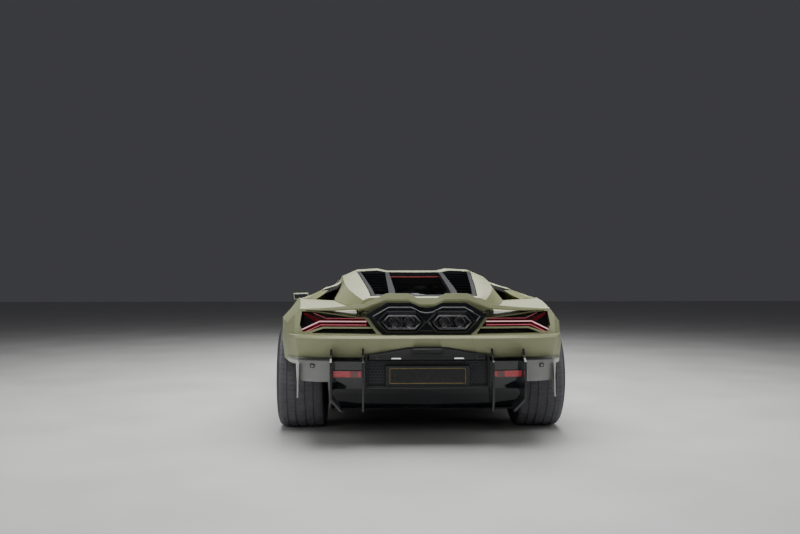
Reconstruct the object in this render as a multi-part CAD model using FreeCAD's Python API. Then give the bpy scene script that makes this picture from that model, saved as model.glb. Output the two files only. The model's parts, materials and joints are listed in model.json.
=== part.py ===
import FreeCAD, Part
import math
import os
from FreeCAD import Vector

# A mid-engined two-seat coupe with a low wedge body, upward-swinging doors, a louvred
# engine lid, a hinged rear wing and twin six-sided exhaust outlets high in the tail.
# Millimetres. +Y is forward, +X is the car's right, +Z is up. The origin is on the
# floor, under the middle of the overall box. The right half is built and mirrored.

# Overall sizes
overall_length = 4947.0
wheelbase = 2779.0
rear_overhang = 1015.0
half_width = 1016.5
roof_height = 1160.0
floor_height = 115.0
nose_y = overall_length / 2
tail_y = -overall_length / 2
rear_axle_y = tail_y + rear_overhang
front_axle_y = rear_axle_y + wheelbase

# Wheels, tyres and brakes
front_tyre_radius = 347.0
rear_tyre_radius = 370.0
front_tyre_width = 265.0
rear_tyre_width = 340.0
front_rim_radius = 254.0
rear_rim_radius = 267.0
front_wheel_x = 860.0
rear_wheel_x = 846.0
rim_wall = 14.0
hub_radius = 72.0
hub_length = 62.0
disc_radius = 198.0
disc_thickness = 34.0
spindle_radius = 30.0
kingpin_radius = 14.0
shaft_fit = 0.05
seat_gap = 0.3
spoke_count = 5
tyre_sides = 60
disc_sides = 36

# Body shell
glass_thickness = 6.0
glass_lap = 24.0
cabin_wall = 40.0
lid_wall = 30.0
panel_gap = 6.0
far = 1500.0
jack_pad_x = 700.0
jack_pad_height = 8.0

# Doors swing up about a tilted axis near the foot of the windscreen pillar
door_pivot = Vector(835.0, front_axle_y - 460.0, 775.0)
door_tilt = 15.0
door_knuckle_radius = 32.0
door_lug_radius = 20.0
door_pin_radius = 10.0
door_rear_reach = 1311.0
belt_height = 815.0
sill_top = 250.0
cabin_half_width = 760.0
cabin_floor = 190.0
cabin_front_y = front_axle_y - 420.0
bulkhead_y = rear_axle_y + 898.0
bulkhead_thickness = 72.0

# Wheel wells
arch_radius_front = 392.0
well_radius_front = 424.0
well_inner_front = 535.0
well_top_front = 742.0
arch_radius_rear = 408.0
well_inner_rear = 640.0

# Lids and wing
lid_front_y = bulkhead_y - bulkhead_thickness - 18.0
lid_rear_y = rear_axle_y - 560.0
lid_half_front = 468.0
lid_half_rear = 356.0
lid_sill_height = 860.0
lid_hinge_z = roof_height - 32.0
bay_half_width = 520.0
hood_rear_y = front_axle_y - 312.0
hood_front_y = front_axle_y + 520.0
hood_hinge_z = 832.0
hinge_gap = 18.0
trunk_half_width = 430.0
jack_pad_y = (front_axle_y - 520.0, rear_axle_y + 560.0)
trunk_floor = 330.0
hinge_pin_radius = 5.0
hinge_knuckle_radius = 10.0
wing_hinge = Vector(0, rear_axle_y - 690.0, 860.0)
wing_post_x = 430.0
wing_post_width = 16.0
wing_knuckle_radius = 12.0
wing_chord = 235.0
wing_travel = 12.0
slat_count = 9
slat_thickness = 8.0

# Tail, exhaust outlets and number plate
exhaust_x = 162.0
exhaust_z = 801.0
exhaust_width = 263.0
exhaust_height = 93.0
exhaust_wall = 12.0
pipe_bore = 31.0
pipe_wall = 3.0
pipe_spacing = 96.0
pipe_length = 104.0
tail_split_y = rear_axle_y - 625.0
lamp_depth = 70.0
lamp_housing = 18.0
plate_width = 520.0
plate_height = 110.0
plate_centre_z = 464.0
plate_hole_x = 190.0
plate_hole_radius = 3.0


def prism_x(points, low, high):
    """Side-view outline (y, z) carried across the car from x = low to x = high."""
    ring = [Vector(low, y, z) for y, z in points]
    return Part.Face(Part.makePolygon(ring + ring[:1])).extrude(Vector(high - low, 0, 0))


def prism_y(points, low, high):
    """Rear-view outline (x, z) carried along the car from y = low to y = high."""
    ring = [Vector(x, low, z) for x, z in points]
    return Part.Face(Part.makePolygon(ring + ring[:1])).extrude(Vector(0, high - low, 0))


def prism_z(points, low, high):
    """Plan outline (x, y) carried upwards from z = low to z = high."""
    ring = [Vector(x, y, low) for x, y in points]
    return Part.Face(Part.makePolygon(ring + ring[:1])).extrude(Vector(0, 0, high - low))


def box(x0, x1, y0, y1, z0, z1):
    return Part.makeBox(x1 - x0, y1 - y0, z1 - z0, Vector(x0, y0, z0))


def rod(start, end, radius):
    """A round bar from one point to another."""
    along = end - start
    return Part.makeCylinder(radius, along.Length, start, along)


def rod_x(x0, x1, y, z, radius):
    return Part.makeCylinder(radius, x1 - x0, Vector(x0, y, z), Vector(1, 0, 0))


def bar_x(x0, x1, y, z, radius, sides=12):
    """A flat-sided bar along x whose flats lie at the given radius."""
    step = 2 * math.pi / sides
    reach = radius / math.cos(step / 2)
    return prism_x([(y + reach * math.cos((i + 0.5) * step), z + reach * math.sin((i + 0.5) * step))
                    for i in range(sides)], x0, x1)


def bar_z(x, y, z0, z1, radius, sides=12):
    """A flat-sided upright bar whose flats lie at the given radius."""
    step = 2 * math.pi / sides
    reach = radius / math.cos(step / 2)
    return prism_z([(x + reach * math.cos((i + 0.5) * step), y + reach * math.sin((i + 0.5) * step))
                    for i in range(sides)], z0, z1)


def ring_x(profile, sides):
    """A ring about the x axis: a closed (x, radius) outline carried round in flat sides."""
    step = 2 * math.pi / sides

    def corner(i, x, radius):
        reach = radius / math.cos(step / 2)
        return Vector(x, reach * math.cos((i + 0.5) * step), reach * math.sin((i + 0.5) * step))

    faces = []
    for i in range(sides):
        for (x0, r0), (x1, r1) in zip(profile, profile[1:] + profile[:1]):
            quad = [corner(i, x0, r0), corner(i, x1, r1), corner(i + 1, x1, r1), corner(i + 1, x0, r0)]
            faces.append(Part.Face(Part.makePolygon(quad + quad[:1])))
    shell = Part.makeShell(faces)
    shell.sewShape()
    ring = Part.Solid(shell)
    if ring.Volume < 0:
        ring.reverse()
    return ring


def mirrored(shape):
    return shape.mirror(Vector(0, 0, 0), Vector(1, 0, 0))


def whole(shape):
    """A right half that ends on the centre plane, joined to its mirror."""
    return shape.fuse(mirrored(shape)).removeSplitter()


def pair(shape):
    """A right-hand solid and its mirror, as two solids that do not touch."""
    return Part.makeCompound([shape, mirrored(shape)])


def inset(ring, depth):
    """Moves every edge of a closed outline inwards by depth and joins the edges again."""
    count = len(ring)
    area = sum(ring[i][0] * ring[(i + 1) % count][1] - ring[(i + 1) % count][0] * ring[i][1]
               for i in range(count))
    turn = 1.0 if area > 0 else -1.0
    moved = []
    for i in range(count):
        before, here, after = ring[i - 1], ring[i], ring[(i + 1) % count]
        n = []
        for a, b in ((before, here), (here, after)):
            length = math.hypot(b[0] - a[0], b[1] - a[1])
            n.append((-(b[1] - a[1]) / length * turn, (b[0] - a[0]) / length * turn))
        spread = 1.0 + n[0][0] * n[1][0] + n[0][1] * n[1][1]
        moved.append((here[0] + depth * (n[0][0] + n[1][0]) / spread,
                      here[1] + depth * (n[0][1] + n[1][1]) / spread))
    return moved


def loft_y(stations, depth=0.0, ruled=False):
    """A solid through closed (x, z) outlines at stations along the car, drawn in by depth."""
    wires = []
    for y, ring in stations:
        points = [Vector(x, y, z) for x, z in (inset(ring, depth) if depth else ring)]
        wires.append(Part.makePolygon(points + points[:1]))
    return Part.makeLoft(wires, True, ruled)


def largest(shape):
    """The biggest solid of a shape that a cut has parted."""
    return max(shape.Solids, key=lambda solid: solid.Volume)


def loft_x(stations):
    """A solid through closed (y, z) outlines at stations across the car, with flat facets."""
    wires = []
    for x, ring in stations:
        points = [Vector(x, y, z) for y, z in ring]
        wires.append(Part.makePolygon(points + points[:1]))
    return Part.makeLoft(wires, True, True)


def half_ring(half):
    """Half outline from the floor's middle round to the top's middle, carried past the centre."""
    past = -80.0
    return [(past, half[0][1])] + half[1:-1] + [(past, half[-1][1])]


def hull_stations():
    """Lower body: floor, sill, waist, shoulder, crest, inner shoulder and spine at each station."""
    w = half_width / 1016.5
    f, r = front_axle_y, rear_axle_y
    z = floor_height
    rows = [
        (nose_y + 60, [(0, z), (700 * w, z), (735 * w, 200), (750 * w, 380), (730 * w, 460),
                       (660 * w, 520), (470, 530), (0, 536)]),
        (f + 960, [(0, z), (830 * w, z), (865 * w, 210), (885 * w, 400), (865 * w, 500),
                   (790 * w, 575), (520, 580), (0, 590)]),
        (f + 700, [(0, z), (885 * w, z), (930 * w, 230), (955 * w, 440), (938 * w, 570),
                   (868 * w, 660), (560, 650), (0, 660)]),
        (f + 380, [(0, z), (900 * w, z), (950 * w, 240), (985 * w, 500), (960 * w, 665),
                   (890 * w, 765), (600, 724), (0, 730)]),
        (f, [(0, z), (900 * w, z), (955 * w, 250), (1000 * w, 560), (968 * w, 725),
             (895 * w, 810), (620, 776), (0, 790)]),
        (f - 370, [(0, z), (890 * w, z), (945 * w, 220), (985 * w, 540), (950 * w, 700),
                   (890 * w, 796), (660, 806), (0, 845)]),
        (f - 720, [(0, z), (880 * w, z), (935 * w, 190), (952 * w, 500), (928 * w, 665),
                   (872 * w, 770), (720, 800), (0, 850)]),
        (r + 1458, [(0, z), (880 * w, z), (930 * w, 190), (935 * w, 500), (915 * w, 655),
                    (870 * w, 760), (740, 800), (0, 850)]),
        (r + 958, [(0, z), (890 * w, z), (940 * w, 200), (960 * w, 540), (942 * w, 700),
                   (880 * w, 806), (740, 830), (0, 850)]),
        (r + 458, [(0, z), (900 * w, z), (960 * w, 230), (1002 * w, 600), (985 * w, 765),
                   (890 * w, 892), (720, 895), (0, 870)]),
        (r, [(0, z + 15), (900 * w, z + 15), (970 * w, 260), (half_width, 650), (1003 * w, 795),
             (882 * w, 932), (690, 915), (0, 885)]),
        (r - 442, [(0, 180), (890 * w, 180), (950 * w, 320), (1008 * w, 650), (985 * w, 790),
                   (850 * w, 913), (590, 884), (0, 860)]),
        (r - 800, [(0, 250), (850 * w, 250), (890 * w, 420), (968 * w, 650), (940 * w, 775),
                   (812 * w, 879), (430, 828), (0, 828)]),
        (tail_y - 60, [(0, 300), (760 * w, 300), (800 * w, 420), (890 * w, 620), (880 * w, 735),
                       (780 * w, 846), (420, 815), (0, 815)]),
    ]
    return [(y, half_ring(half)) for y, half in rows]


def canopy_stations():
    """Cabin and engine deck: foot, belt, roof edge, two hump edges, trough edge and spine."""
    f, r, h = front_axle_y, rear_axle_y, roof_height
    foot = 700.0
    rows = [
        (f - 320, [(0, foot), (700, foot), (750, 785), (690, 806), (480, 819), (300, 830),
                   (215, 835), (0, 847)]),
        (f - 720, [(0, foot), (700, foot), (775, 800), (680, 925), (470, 963), (300, 977),
                   (215, 980), (0, 982)]),
        (f - 1120, [(0, foot), (700, foot), (785, 808), (640, h - 130), (470, h - 82), (300, h - 60),
                    (215, h - 64), (0, h - 62)]),
        (r + 1358, [(0, foot), (700, foot), (790, belt_height), (615, h - 77), (470, h - 18),
                    (295, h - 5), (215, h - 22), (0, h - 22)]),
        (r + 1108, [(0, foot), (700, foot), (790, 822), (608, h - 63), (470, h - 10), (295, h),
                    (215, h - 18), (0, h - 19)]),
        (r + 658, [(0, foot), (640, foot), (672, 890), (592, h - 82), (468, h - 40), (300, h - 32),
                   (225, h - 45), (0, h - 47)]),
        (r + 158, [(0, foot), (600, foot), (628, 925), (556, h - 124), (450, h - 98), (310, h - 92),
                   (240, h - 100), (0, h - 102)]),
        (r - 342, [(0, foot), (520, foot), (540, 900), (488, h - 176), (420, h - 158), (320, h - 155),
                   (260, h - 158), (0, h - 160)]),
        (r - 600, [(0, foot), (420, foot), (440, 870), (412, h - 226), (375, h - 210), (305, h - 207),
                   (255, h - 209), (0, h - 211)]),
    ]
    return [(y, half_ring(half)) for y, half in rows]


def buttress():
    """Thin blade that runs from the roof corner back and down to the rear wing crest."""
    r, h = rear_axle_y, roof_height
    rows = [
        (r + 1150, [(600, h - 70), (780, 830), (758, 812), (580, h - 92)]),
        (r + 658, [(584, h - 92), (806, 868), (800, 836), (570, h - 116)]),
        (r + 258, [(672, h - 186), (856, 905), (850, 876), (676, h - 212)]),
        (r + 30, [(800, 938), (876, 930), (868, 905), (800, 912)]),
    ]
    return loft_y(rows, ruled=True)


def nose_cutter():
    """Space in front of the pointed nose: leading edge, intake face and lower lip."""
    face = [(-150, 640), (-70, 540), (-34, 462), (-64, 300), (-20, 190), (0, 150), (-20, 90)]
    sweep = [(-105, -10), (420, 40), (720, 140), (900, 330), (1040, 560)]
    stations = []
    for x, back in sweep:
        ring = [(nose_y - back + y, z) for y, z in face]
        stations.append((x, ring + [(nose_y + 500, 60), (nose_y + 500, 700)]))
    return loft_x(stations)


# Tail profile from the deck down: distance ahead of the rearmost point, height
tail_profile = [(228, 980), (225, 895), (160, 718), (78, 716), (66, 700), (112, 578), (150, 574),
                (150, 560), (46, 556), (64, 430), (100, 378), (200, 330), (330, 230)]
tail_sweep = [(-100, 0), (450, 12), (700, 38), (880, 120), (1040, 330)]


def tail_space(ahead):
    """Everything behind the tail profile, moved forward by the given distance."""
    stations = []
    for x, back in tail_sweep:
        ring = [(tail_y + ahead + back + y, z) for y, z in tail_profile]
        stations.append((x, ring + [(tail_y - 400, 200), (tail_y - 400, 1000)]))
    return loft_x(stations)


def tail_slab(outline, near, deep):
    """Rear-view outline kept between two depths below the tail profile."""
    block = prism_y(outline, tail_y - 100, tail_y + 900)
    return block.common(tail_space(deep)).cut(tail_space(near))


def wheel_wells():
    f, r = front_axle_y, rear_axle_y
    arch = rod_x(925, far, f, front_tyre_radius, arch_radius_front)
    well = rod_x(well_inner_front, 930, f, front_tyre_radius, well_radius_front)
    well = well.common(box(well_inner_front, 930, f - far, f + far, -far, well_top_front))
    under = box(well_inner_front, far, f - 330, f + 330, -10, front_tyre_radius)
    rear = rod_x(well_inner_rear, far, r, rear_tyre_radius, arch_radius_rear)
    under_rear = box(well_inner_rear, far, r - 408, r + 340, -10, rear_tyre_radius)
    return [arch, well, under, rear, under_rear]


def tail_corner():
    """Space under the rear corners, where the tyres show from behind."""
    outline = [(632, -10), (632, 425), (876, 425), (898, 534), (far, 534), (far, -10)]
    return prism_y(outline, tail_y - 100, rear_axle_y - 380)


def door_outline(grow):
    """Side outline of the door, grown outwards by the given gap."""
    y, z = door_pivot.y, door_pivot.z
    rear = []
    for height, reach in ((sill_top, -71), (400, -56), (550, -41), (700, -21), (belt_height, 0)):
        radius = door_rear_reach + reach
        rear.append((y - math.sqrt(radius ** 2 - (z - height) ** 2) - grow, height))
    rear[0] = (rear[0][0], sill_top - grow)
    back = rear[-1][0]
    front = [(y - 160 + grow, sill_top - grow), (y - 100 + grow, 560), (y + grow, z - 15), (y + grow, z + 25),
             (y - 30 + grow, z + 85), (y - 30 + grow, 1300)]
    top = [(back + 120, 1300), (back + 120, 1105), (back + 50, 1010), (back, 900)]
    return front + top + rear[::-1]


# Roof edge seam in plan: (x, y) from the windscreen foot to the rear deck
def roof_seam(shift):
    f, r = front_axle_y, rear_axle_y
    line = [(712, f - 390), (696, f - 720), (656, f - 1120), (629, r + 1358), (620, r + 1108),
            (618, r + 998), (616, lid_front_y + 18)]
    return [(x + shift, y) for x, y in line]


def door_axis():
    a = math.radians(door_tilt)
    return Vector(-math.cos(a), 0, math.sin(a))


def door_region(grow):
    """Space taken by the right door, grown by the given gap."""
    side = prism_x(door_outline(grow), 500, far)
    seam = roof_seam(3 - grow)
    plan = prism_z(seam + [(seam[-1][0], -far), (far, -far), (far, far), (seam[0][0], far)], -10, far)
    floor = box(cabin_half_width, far, -far, far, 0, belt_height)
    above = box(0, far, -far, far, belt_height - 75, far)
    knuckle = rod(door_pivot + door_axis() * (45 + grow), door_pivot - door_axis() * 300,
                  door_knuckle_radius + grow)
    lug = rod(door_pivot + door_axis() * (45 + grow), door_pivot + door_axis() * 150,
              door_lug_radius + panel_gap - grow)
    return side.common(plan).common(floor.fuse(above)).fuse(knuckle).cut(lug)


def windscreen_plan(lap):
    f = front_axle_y
    return prism_z([(-10, f - 392 - lap), (628 - lap, f - 392 - lap), (600 - lap, f - 720),
                    (552 - lap, f - 1120), (528 - lap, f - 1275 + lap), (-10, f - 1275 + lap)], 700, far)


def engine_lid_plan(grow, low, high):
    front = lid_front_y + (hinge_gap if grow else 0)
    return prism_z([(-10, front), (lid_half_front + grow, front),
                    (lid_half_rear + grow, lid_rear_y - grow), (-10, lid_rear_y - grow)], low, high)


def hood_plan(grow, low, high):
    y0, y1 = hood_rear_y, hood_front_y
    rear = y0 - (hinge_gap if grow else 0)
    return prism_z([(-10, rear), (585 + grow, rear), (560 + grow, y0 + 330),
                    (380 + grow, y1 + grow), (-10, y1 + grow)], low, high)


def cut_all(shape, tools):
    for tool in tools:
        shape = shape.cut(tool)
    return shape


def hinge_x(x0, x1, y, z, root_y, bore=0.0):
    """A round knuckle along x with a web to the panel at root_y, bored where a pin passes."""
    web = box(x0, x1, min(y, root_y), max(y, root_y), z - hinge_knuckle_radius, z + 4)
    knuckle = bar_x(x0, x1, y, z, hinge_knuckle_radius).fuse(web)
    return knuckle.cut(rod_x(x0 - 1, x1 + 1, y, z, bore)) if bore else knuckle


def lid_hinge(panel, frame, x, axis_y, z, panel_y, frame_y):
    """Adds a bored knuckle to the panel and two lugs with a pin to the frame."""
    room = hinge_knuckle_radius + panel_gap
    panel = panel.cut(bar_x(x - 60, x + 60, axis_y, z, room))
    frame = frame.cut(bar_x(x - 20, x + 20, axis_y, z, room))
    root = panel_y + (14 if panel_y > axis_y else -14)
    panel = panel.fuse(hinge_x(x - 15, x + 15, axis_y, z, root, hinge_pin_radius + shaft_fit))
    for x0, x1 in ((x - 45, x - 20), (x + 20, x + 45)):
        frame = frame.fuse(hinge_x(x0, x1, axis_y, z, frame_y))
    return panel, frame.fuse(rod_x(x - 45, x + 45, axis_y, z, hinge_pin_radius))


# Side intake behind the door: side outline (y, z) and the wedge it cuts, in plan (x, y)
intake_outline = [(bulkhead_y + 200, 335), (bulkhead_y + 112, 640), (bulkhead_y - 130, 712),
                  (bulkhead_y - 290, 650), (bulkhead_y - 215, 440), (bulkhead_y - 70, 335)]
intake_plan = [(far, bulkhead_y + 240), (960, bulkhead_y + 215), (815, bulkhead_y - 240),
               (1000, bulkhead_y - 305), (far, bulkhead_y - 305)]


def side_grille(intake, inner):
    """Back panel and level slats that fill the side intake."""
    (x0, y0), (x1, y1) = intake_plan[2], intake_plan[3]
    back = prism_z([(x0 - 30, y0 + 10.5), (x1, y1), (x1 + 4, y1 + 12), (x0 - 26, y0 + 22.5)], 0, 1200)
    panel = intake.common(back)
    slats = []
    for z in (420, 500, 580, 650):
        band = box(780, far, bulkhead_y - 300, bulkhead_y + 40, z - 5, z + 5)
        slats.append(band.common(intake).common(inner))
    return largest(panel.common(inner).multiFuse(slats))


def build_body():
    """Cuts the right half of the body into its panels."""
    parts = {}
    f, r = front_axle_y, rear_axle_y
    right = box(0, far, -3000, 3000, -50, far)
    hull = loft_y(hull_stations())
    canopy = loft_y(canopy_stations())
    outer = hull.fuse(canopy).fuse(buttress()).common(right)
    outer = cut_all(outer, [nose_cutter(), tail_space(0), tail_corner()])
    cabin = loft_y(canopy_stations(), cabin_wall).common(
        box(-10, far, bulkhead_y, cabin_front_y, 720, far))
    tub_space = box(-10, cabin_half_width, bulkhead_y, cabin_front_y - 130, cabin_floor, 760)
    bay = box(-10, bay_half_width, r + 60, bulkhead_y - bulkhead_thickness, 180, 900)
    trunk = box(-10, trunk_half_width, hood_rear_y + 50, f + 480, trunk_floor, 900)
    canopy_skin = canopy.cut(loft_y(canopy_stations(), glass_thickness))
    lid_shell = canopy.common(engine_lid_plan(0, 800, far)).cut(loft_y(canopy_stations(), lid_wall))
    hood_shell = hull.common(hood_plan(0, 500, far)).cut(loft_y(hull_stations(), lid_wall))
    hood_space = hood_plan(panel_gap, 400, far).cut(loft_y(hull_stations(), lid_wall + panel_gap))
    hood_space = hood_space.fuse(hood_plan(panel_gap, 700, far))
    body = cut_all(outer, wheel_wells())
    door = body.common(door_region(0))
    body = body.cut(door_region(panel_gap))
    body = cut_all(body, [cabin, tub_space, bay, trunk, hood_space])
    body = body.cut(engine_lid_plan(panel_gap, lid_sill_height, far))
    door = door.cut(cabin).cut(tub_space)
    intake = prism_x(intake_outline, 790, far).common(prism_z(intake_plan, 0, 1200))
    body = body.cut(intake)
    parts["side_grille_right"] = side_grille(intake, loft_y(hull_stations(), 18.0))

    glass = canopy_skin.common(door_region(0)).common(box(0, far, -far, far, belt_height - glass_lap, far))
    parts["door_right"] = door.common(box(0, far, -far, far, 0, belt_height)).cut(glass)
    parts["door_glass_right"] = glass

    seam = roof_seam(-3)
    roof_zone = prism_z([(-10, seam[0][1])] + seam + [(-10, seam[-1][1])], belt_height, far)
    roof = body.common(roof_zone)
    body = body.cut(roof_zone)
    screen = canopy_skin.common(windscreen_plan(0)).common(box(0, far, -far, far, 780, far))
    parts["windscreen"] = screen
    rear_hole = box(-10, 400, lid_front_y - 10, bulkhead_y + 10, 860, 1030)
    pane_y = bulkhead_y - bulkhead_thickness / 2
    parts["rear_window"] = box(0, 400, pane_y, pane_y + glass_thickness, 860, 1030)
    roof = cut_all(roof, [screen, windscreen_plan(glass_lap), rear_hole])
    lid = lid_shell.common(right)
    lid, roof = lid_hinge(build_louvres(lid), roof, 380, lid_front_y + hinge_gap / 2, lid_hinge_z,
                          lid_front_y, lid_front_y + hinge_gap)
    parts["engine_lid"] = lid
    parts["roof"] = roof

    nose_zone = box(-10, far, f + 560, 3000, -50, far)
    nose = body.common(nose_zone)
    body = body.cut(nose_zone)
    low = box(-10, far, f + 560, 3000, -50, 165)
    parts["splitter"] = nose.common(low)
    parts["nose"] = nose.cut(low)

    skirt_zone = box(cabin_half_width, far, r + 340, f - 330, -50, sill_top - panel_gap)
    parts["skirt"] = body.common(skirt_zone)
    body = body.cut(skirt_zone)

    tail_zone = box(-10, far, -3000, tail_split_y, -50, far)
    tail = body.common(tail_zone)
    body = body.cut(tail_zone)
    low_zone = box(-10, far, -3000, tail_split_y, -50, 567)
    parts["tail_low"] = tail.common(low_zone)
    parts["tail_high"] = tail.cut(low_zone)

    fender_zone = box(well_inner_front, far, f - 1000, f + 600, -50, far).cut(
        box(500, cabin_half_width, f - 1001, f - 424, -51, far))
    fender = body.common(fender_zone)
    body = body.cut(fender_zone)

    quarter_zone = box(-10, far, -3000, r + 1500, -50, far)
    quarter_zone = quarter_zone.cut(
        box(-11, well_inner_rear, -3001, bulkhead_y - bulkhead_thickness, -51, lid_sill_height))
    quarter_zone = quarter_zone.cut(
        box(-11, cabin_half_width, bulkhead_y - bulkhead_thickness, 1600, -51, belt_height))
    parts["rear_quarter_right"] = body.common(quarter_zone)
    tub = body.cut(quarter_zone)

    hood = hood_shell.common(right)
    hood, tub = lid_hinge(hood, tub, 75, hood_rear_y - hinge_gap / 2, hood_hinge_z,
                          hood_rear_y, hood_rear_y - hinge_gap)
    parts["front_lid"] = hood
    pads = [box(jack_pad_x - 45, jack_pad_x + 45, y - 60, y + 60, floor_height - jack_pad_height,
                floor_height + 12) for y in jack_pad_y]
    parts["tub"] = tub.fuse(pads[0])
    parts["rear_quarter_right"] = parts["rear_quarter_right"].fuse(pads[1])

    axis = door_axis()
    pin = rod(door_pivot + axis * 68, door_pivot - axis * 40, door_pin_radius)
    parts["front_fender_right"] = fender.fuse(pin)
    bore = rod(door_pivot + axis * 80, door_pivot - axis * 42, door_pin_radius + shaft_fit)
    parts["door_right"] = parts["door_right"].cut(bore)
    return parts


def deck_height(y):
    """Height of the engine lid's outer humps at a station, between the canopy stations."""
    h, r = roof_height, rear_axle_y
    rows = [(r + 1108, h - 5), (r + 658, h - 36), (r + 158, h - 95), (r - 342, h - 156), (r - 600, h - 208)]
    for (y0, z0), (y1, z1) in zip(rows, rows[1:]):
        if y >= y1:
            return z0 + (z1 - z0) * (y - y0) / (y1 - y0)
    return rows[-1][1]


def lid_half(y):
    """Half width of the engine lid at a station."""
    share = (lid_front_y - y) / (lid_front_y - lid_rear_y)
    return lid_half_front + (lid_half_rear - lid_half_front) * share


def build_louvres(shell):
    """Opens the lid over the engine and fills each side with level slats."""
    front, rear = lid_front_y - 34, lid_rear_y + 40
    side = [(236, front), (lid_half(front) - 26, front), (lid_half(rear) - 26, rear), (236, rear)]
    middle = [(-10, front), (204, front), (190, rear), (-10, rear)]
    lid = shell.cut(prism_z(side, 700, far)).cut(prism_z(middle, 700, far))
    grown = [(232, front), (lid_half(front) - 22, front), (lid_half(rear) - 22, rear), (232, rear)]
    bed = prism_z(grown, 700, far)
    pitch = (front - rear) / slat_count
    slats = []
    for i in range(slat_count):
        y0 = front - pitch * i - 4
        y1 = y0 - pitch * 0.72
        z1 = deck_height(y1) - 6
        outline = [(y0, z1 - 14), (y1, z1 - slat_thickness), (y1, z1), (y0, z1 - 8)]
        slats.append(prism_x(outline, 200, 470).common(bed))
    return lid.multiFuse(slats)


def wing_stations(grow=0.0):
    """Blade sections across the car, drawn out by grow: height, thickness, sweep and chord."""
    h = roof_height
    c = wing_chord
    rows = [(0, h - 210, 44, 0, c), (50, h - 210, 44, 0, c), (119, h - 175, 50, 0, c),
            (262, h - 175, 50, 4, c), (410, h - 244, 32, 10, c), (600, h - 249, 24, 30, c - 45),
            (728, h - 250, 18, 52, c - 95), (835 + grow, h - 252, 10, 84, c - 145)]
    stations = []
    for x, top, thick, sweep, chord in rows:
        rear = tail_y + 148 + sweep
        front = rear + chord
        ring = [(front, top - 16), (rear + 6, top), (rear, top - thick * 0.75),
                (rear + 10, top - thick), (front - 8, top - 16 - thick * 0.4)]
        stations.append((x, inset(ring, -grow) if grow else ring))
    return stations


def wing_space():
    """Room that the wing takes as it tips, grown by the gap all round."""
    blade = loft_x(wing_stations(panel_gap))
    turned = []
    for share in (0.5, 1.0):
        turn = blade.copy()
        turn.rotate(wing_hinge, Vector(-1, 0, 0), wing_travel * share)
        turned.append(turn)
    half = wing_post_width / 2
    post = bar_x(wing_post_x - half - panel_gap, wing_post_x + half + panel_gap, wing_hinge.y, wing_hinge.z,
                 wing_knuckle_radius + panel_gap)
    return [blade, post] + turned


def build_wing():
    """Wing with its two posts, and the ears with the pin that stay on the tail."""
    y, z = wing_hinge.y, wing_hinge.z
    blade = whole(loft_x(wing_stations()))
    half = wing_post_width / 2
    post = bar_x(wing_post_x - half, wing_post_x + half, y, z, wing_knuckle_radius)
    web = prism_x([(y + 8, z), (y + 4, z + 34), (y - 84, z + 30), (y - 70, z + 8), (y - 8, z - 8)],
                  wing_post_x - half, wing_post_x + half)
    post = post.fuse(web)
    post = post.cut(rod_x(wing_post_x - 50, wing_post_x + 50, y, z, hinge_pin_radius + shaft_fit))
    ears = []
    for side in (-1, 1):
        near = wing_post_x + side * (half + panel_gap)
        x0, x1 = min(near, near + side * 10), max(near, near + side * 10)
        ear = bar_x(x0, x1, y, z, wing_knuckle_radius)
        ears.append(ear.fuse(prism_x([(y + 12, z - 60), (y + 12, z), (y - 12, z), (y - 30, z - 60)], x0, x1)))
    pin = rod_x(wing_post_x - half - panel_gap - 10, wing_post_x + half + panel_gap + 10, y, z,
                hinge_pin_radius)
    blade = blade.fuse(post).fuse(mirrored(post))
    return blade, ears, pin


def hexagon(x, z, width, height):
    """Six-sided outline, pointed at its inner and outer ends."""
    slope = height * 0.48
    return [(x - width / 2, z), (x - width / 2 + slope, z + height / 2), (x + width / 2 - slope, z + height / 2),
            (x + width / 2, z), (x + width / 2 - slope, z - height / 2), (x - width / 2 + slope, z - height / 2)]


# Rear-view outlines (x, z) of the right half
fascia_outline = [(-10, 890), (46, 897), (102, 924), (255, 924), (388, 848), (324, 757), (283, 716), (-10, 716)]
lamp_outline = [(824, 778), (811, 866), (728, 862), (449, 826), (400, 822), (348, 757), (322, 722),
                (741, 727), (805, 737)]
lamp_bars = [
    [(704, 779), (700, 787), (384, 787), (384, 779)],
    [(690, 796), (694, 804), (384, 804), (384, 796)],
    [(684, 796), (690, 804), (796, 856), (803, 847), (704, 792)],
    [(690, 786), (706, 788), (806, 754), (806, 743), (700, 779)],
    [(676, 779), (700, 779), (704, 787), (700, 804), (684, 804)],
]
lip_outline = [(344, 768), (672, 768), (786, 732), (800, 719), (772, 719), (668, 757), (344, 757)]
grille_outline = [(-10, 644), (125, 644), (255, 618), (398, 596), (398, 384), (-10, 384)]
bumper_steps = [
    ([(-10, 760), (300, 760), (286, 704), (318, 590), (398, 566), (-10, 566)], 9),
    ([(-10, 760), (76, 760), (66, 704), (92, 630), (-10, 630)], 20),
]
fin_outlines = [
    [(404, 640), (416, 640), (416, 242), (404, 242)],
    [(606, 650), (618, 650), (618, 322), (556, 242), (536, 242), (606, 330)],
]


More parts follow.
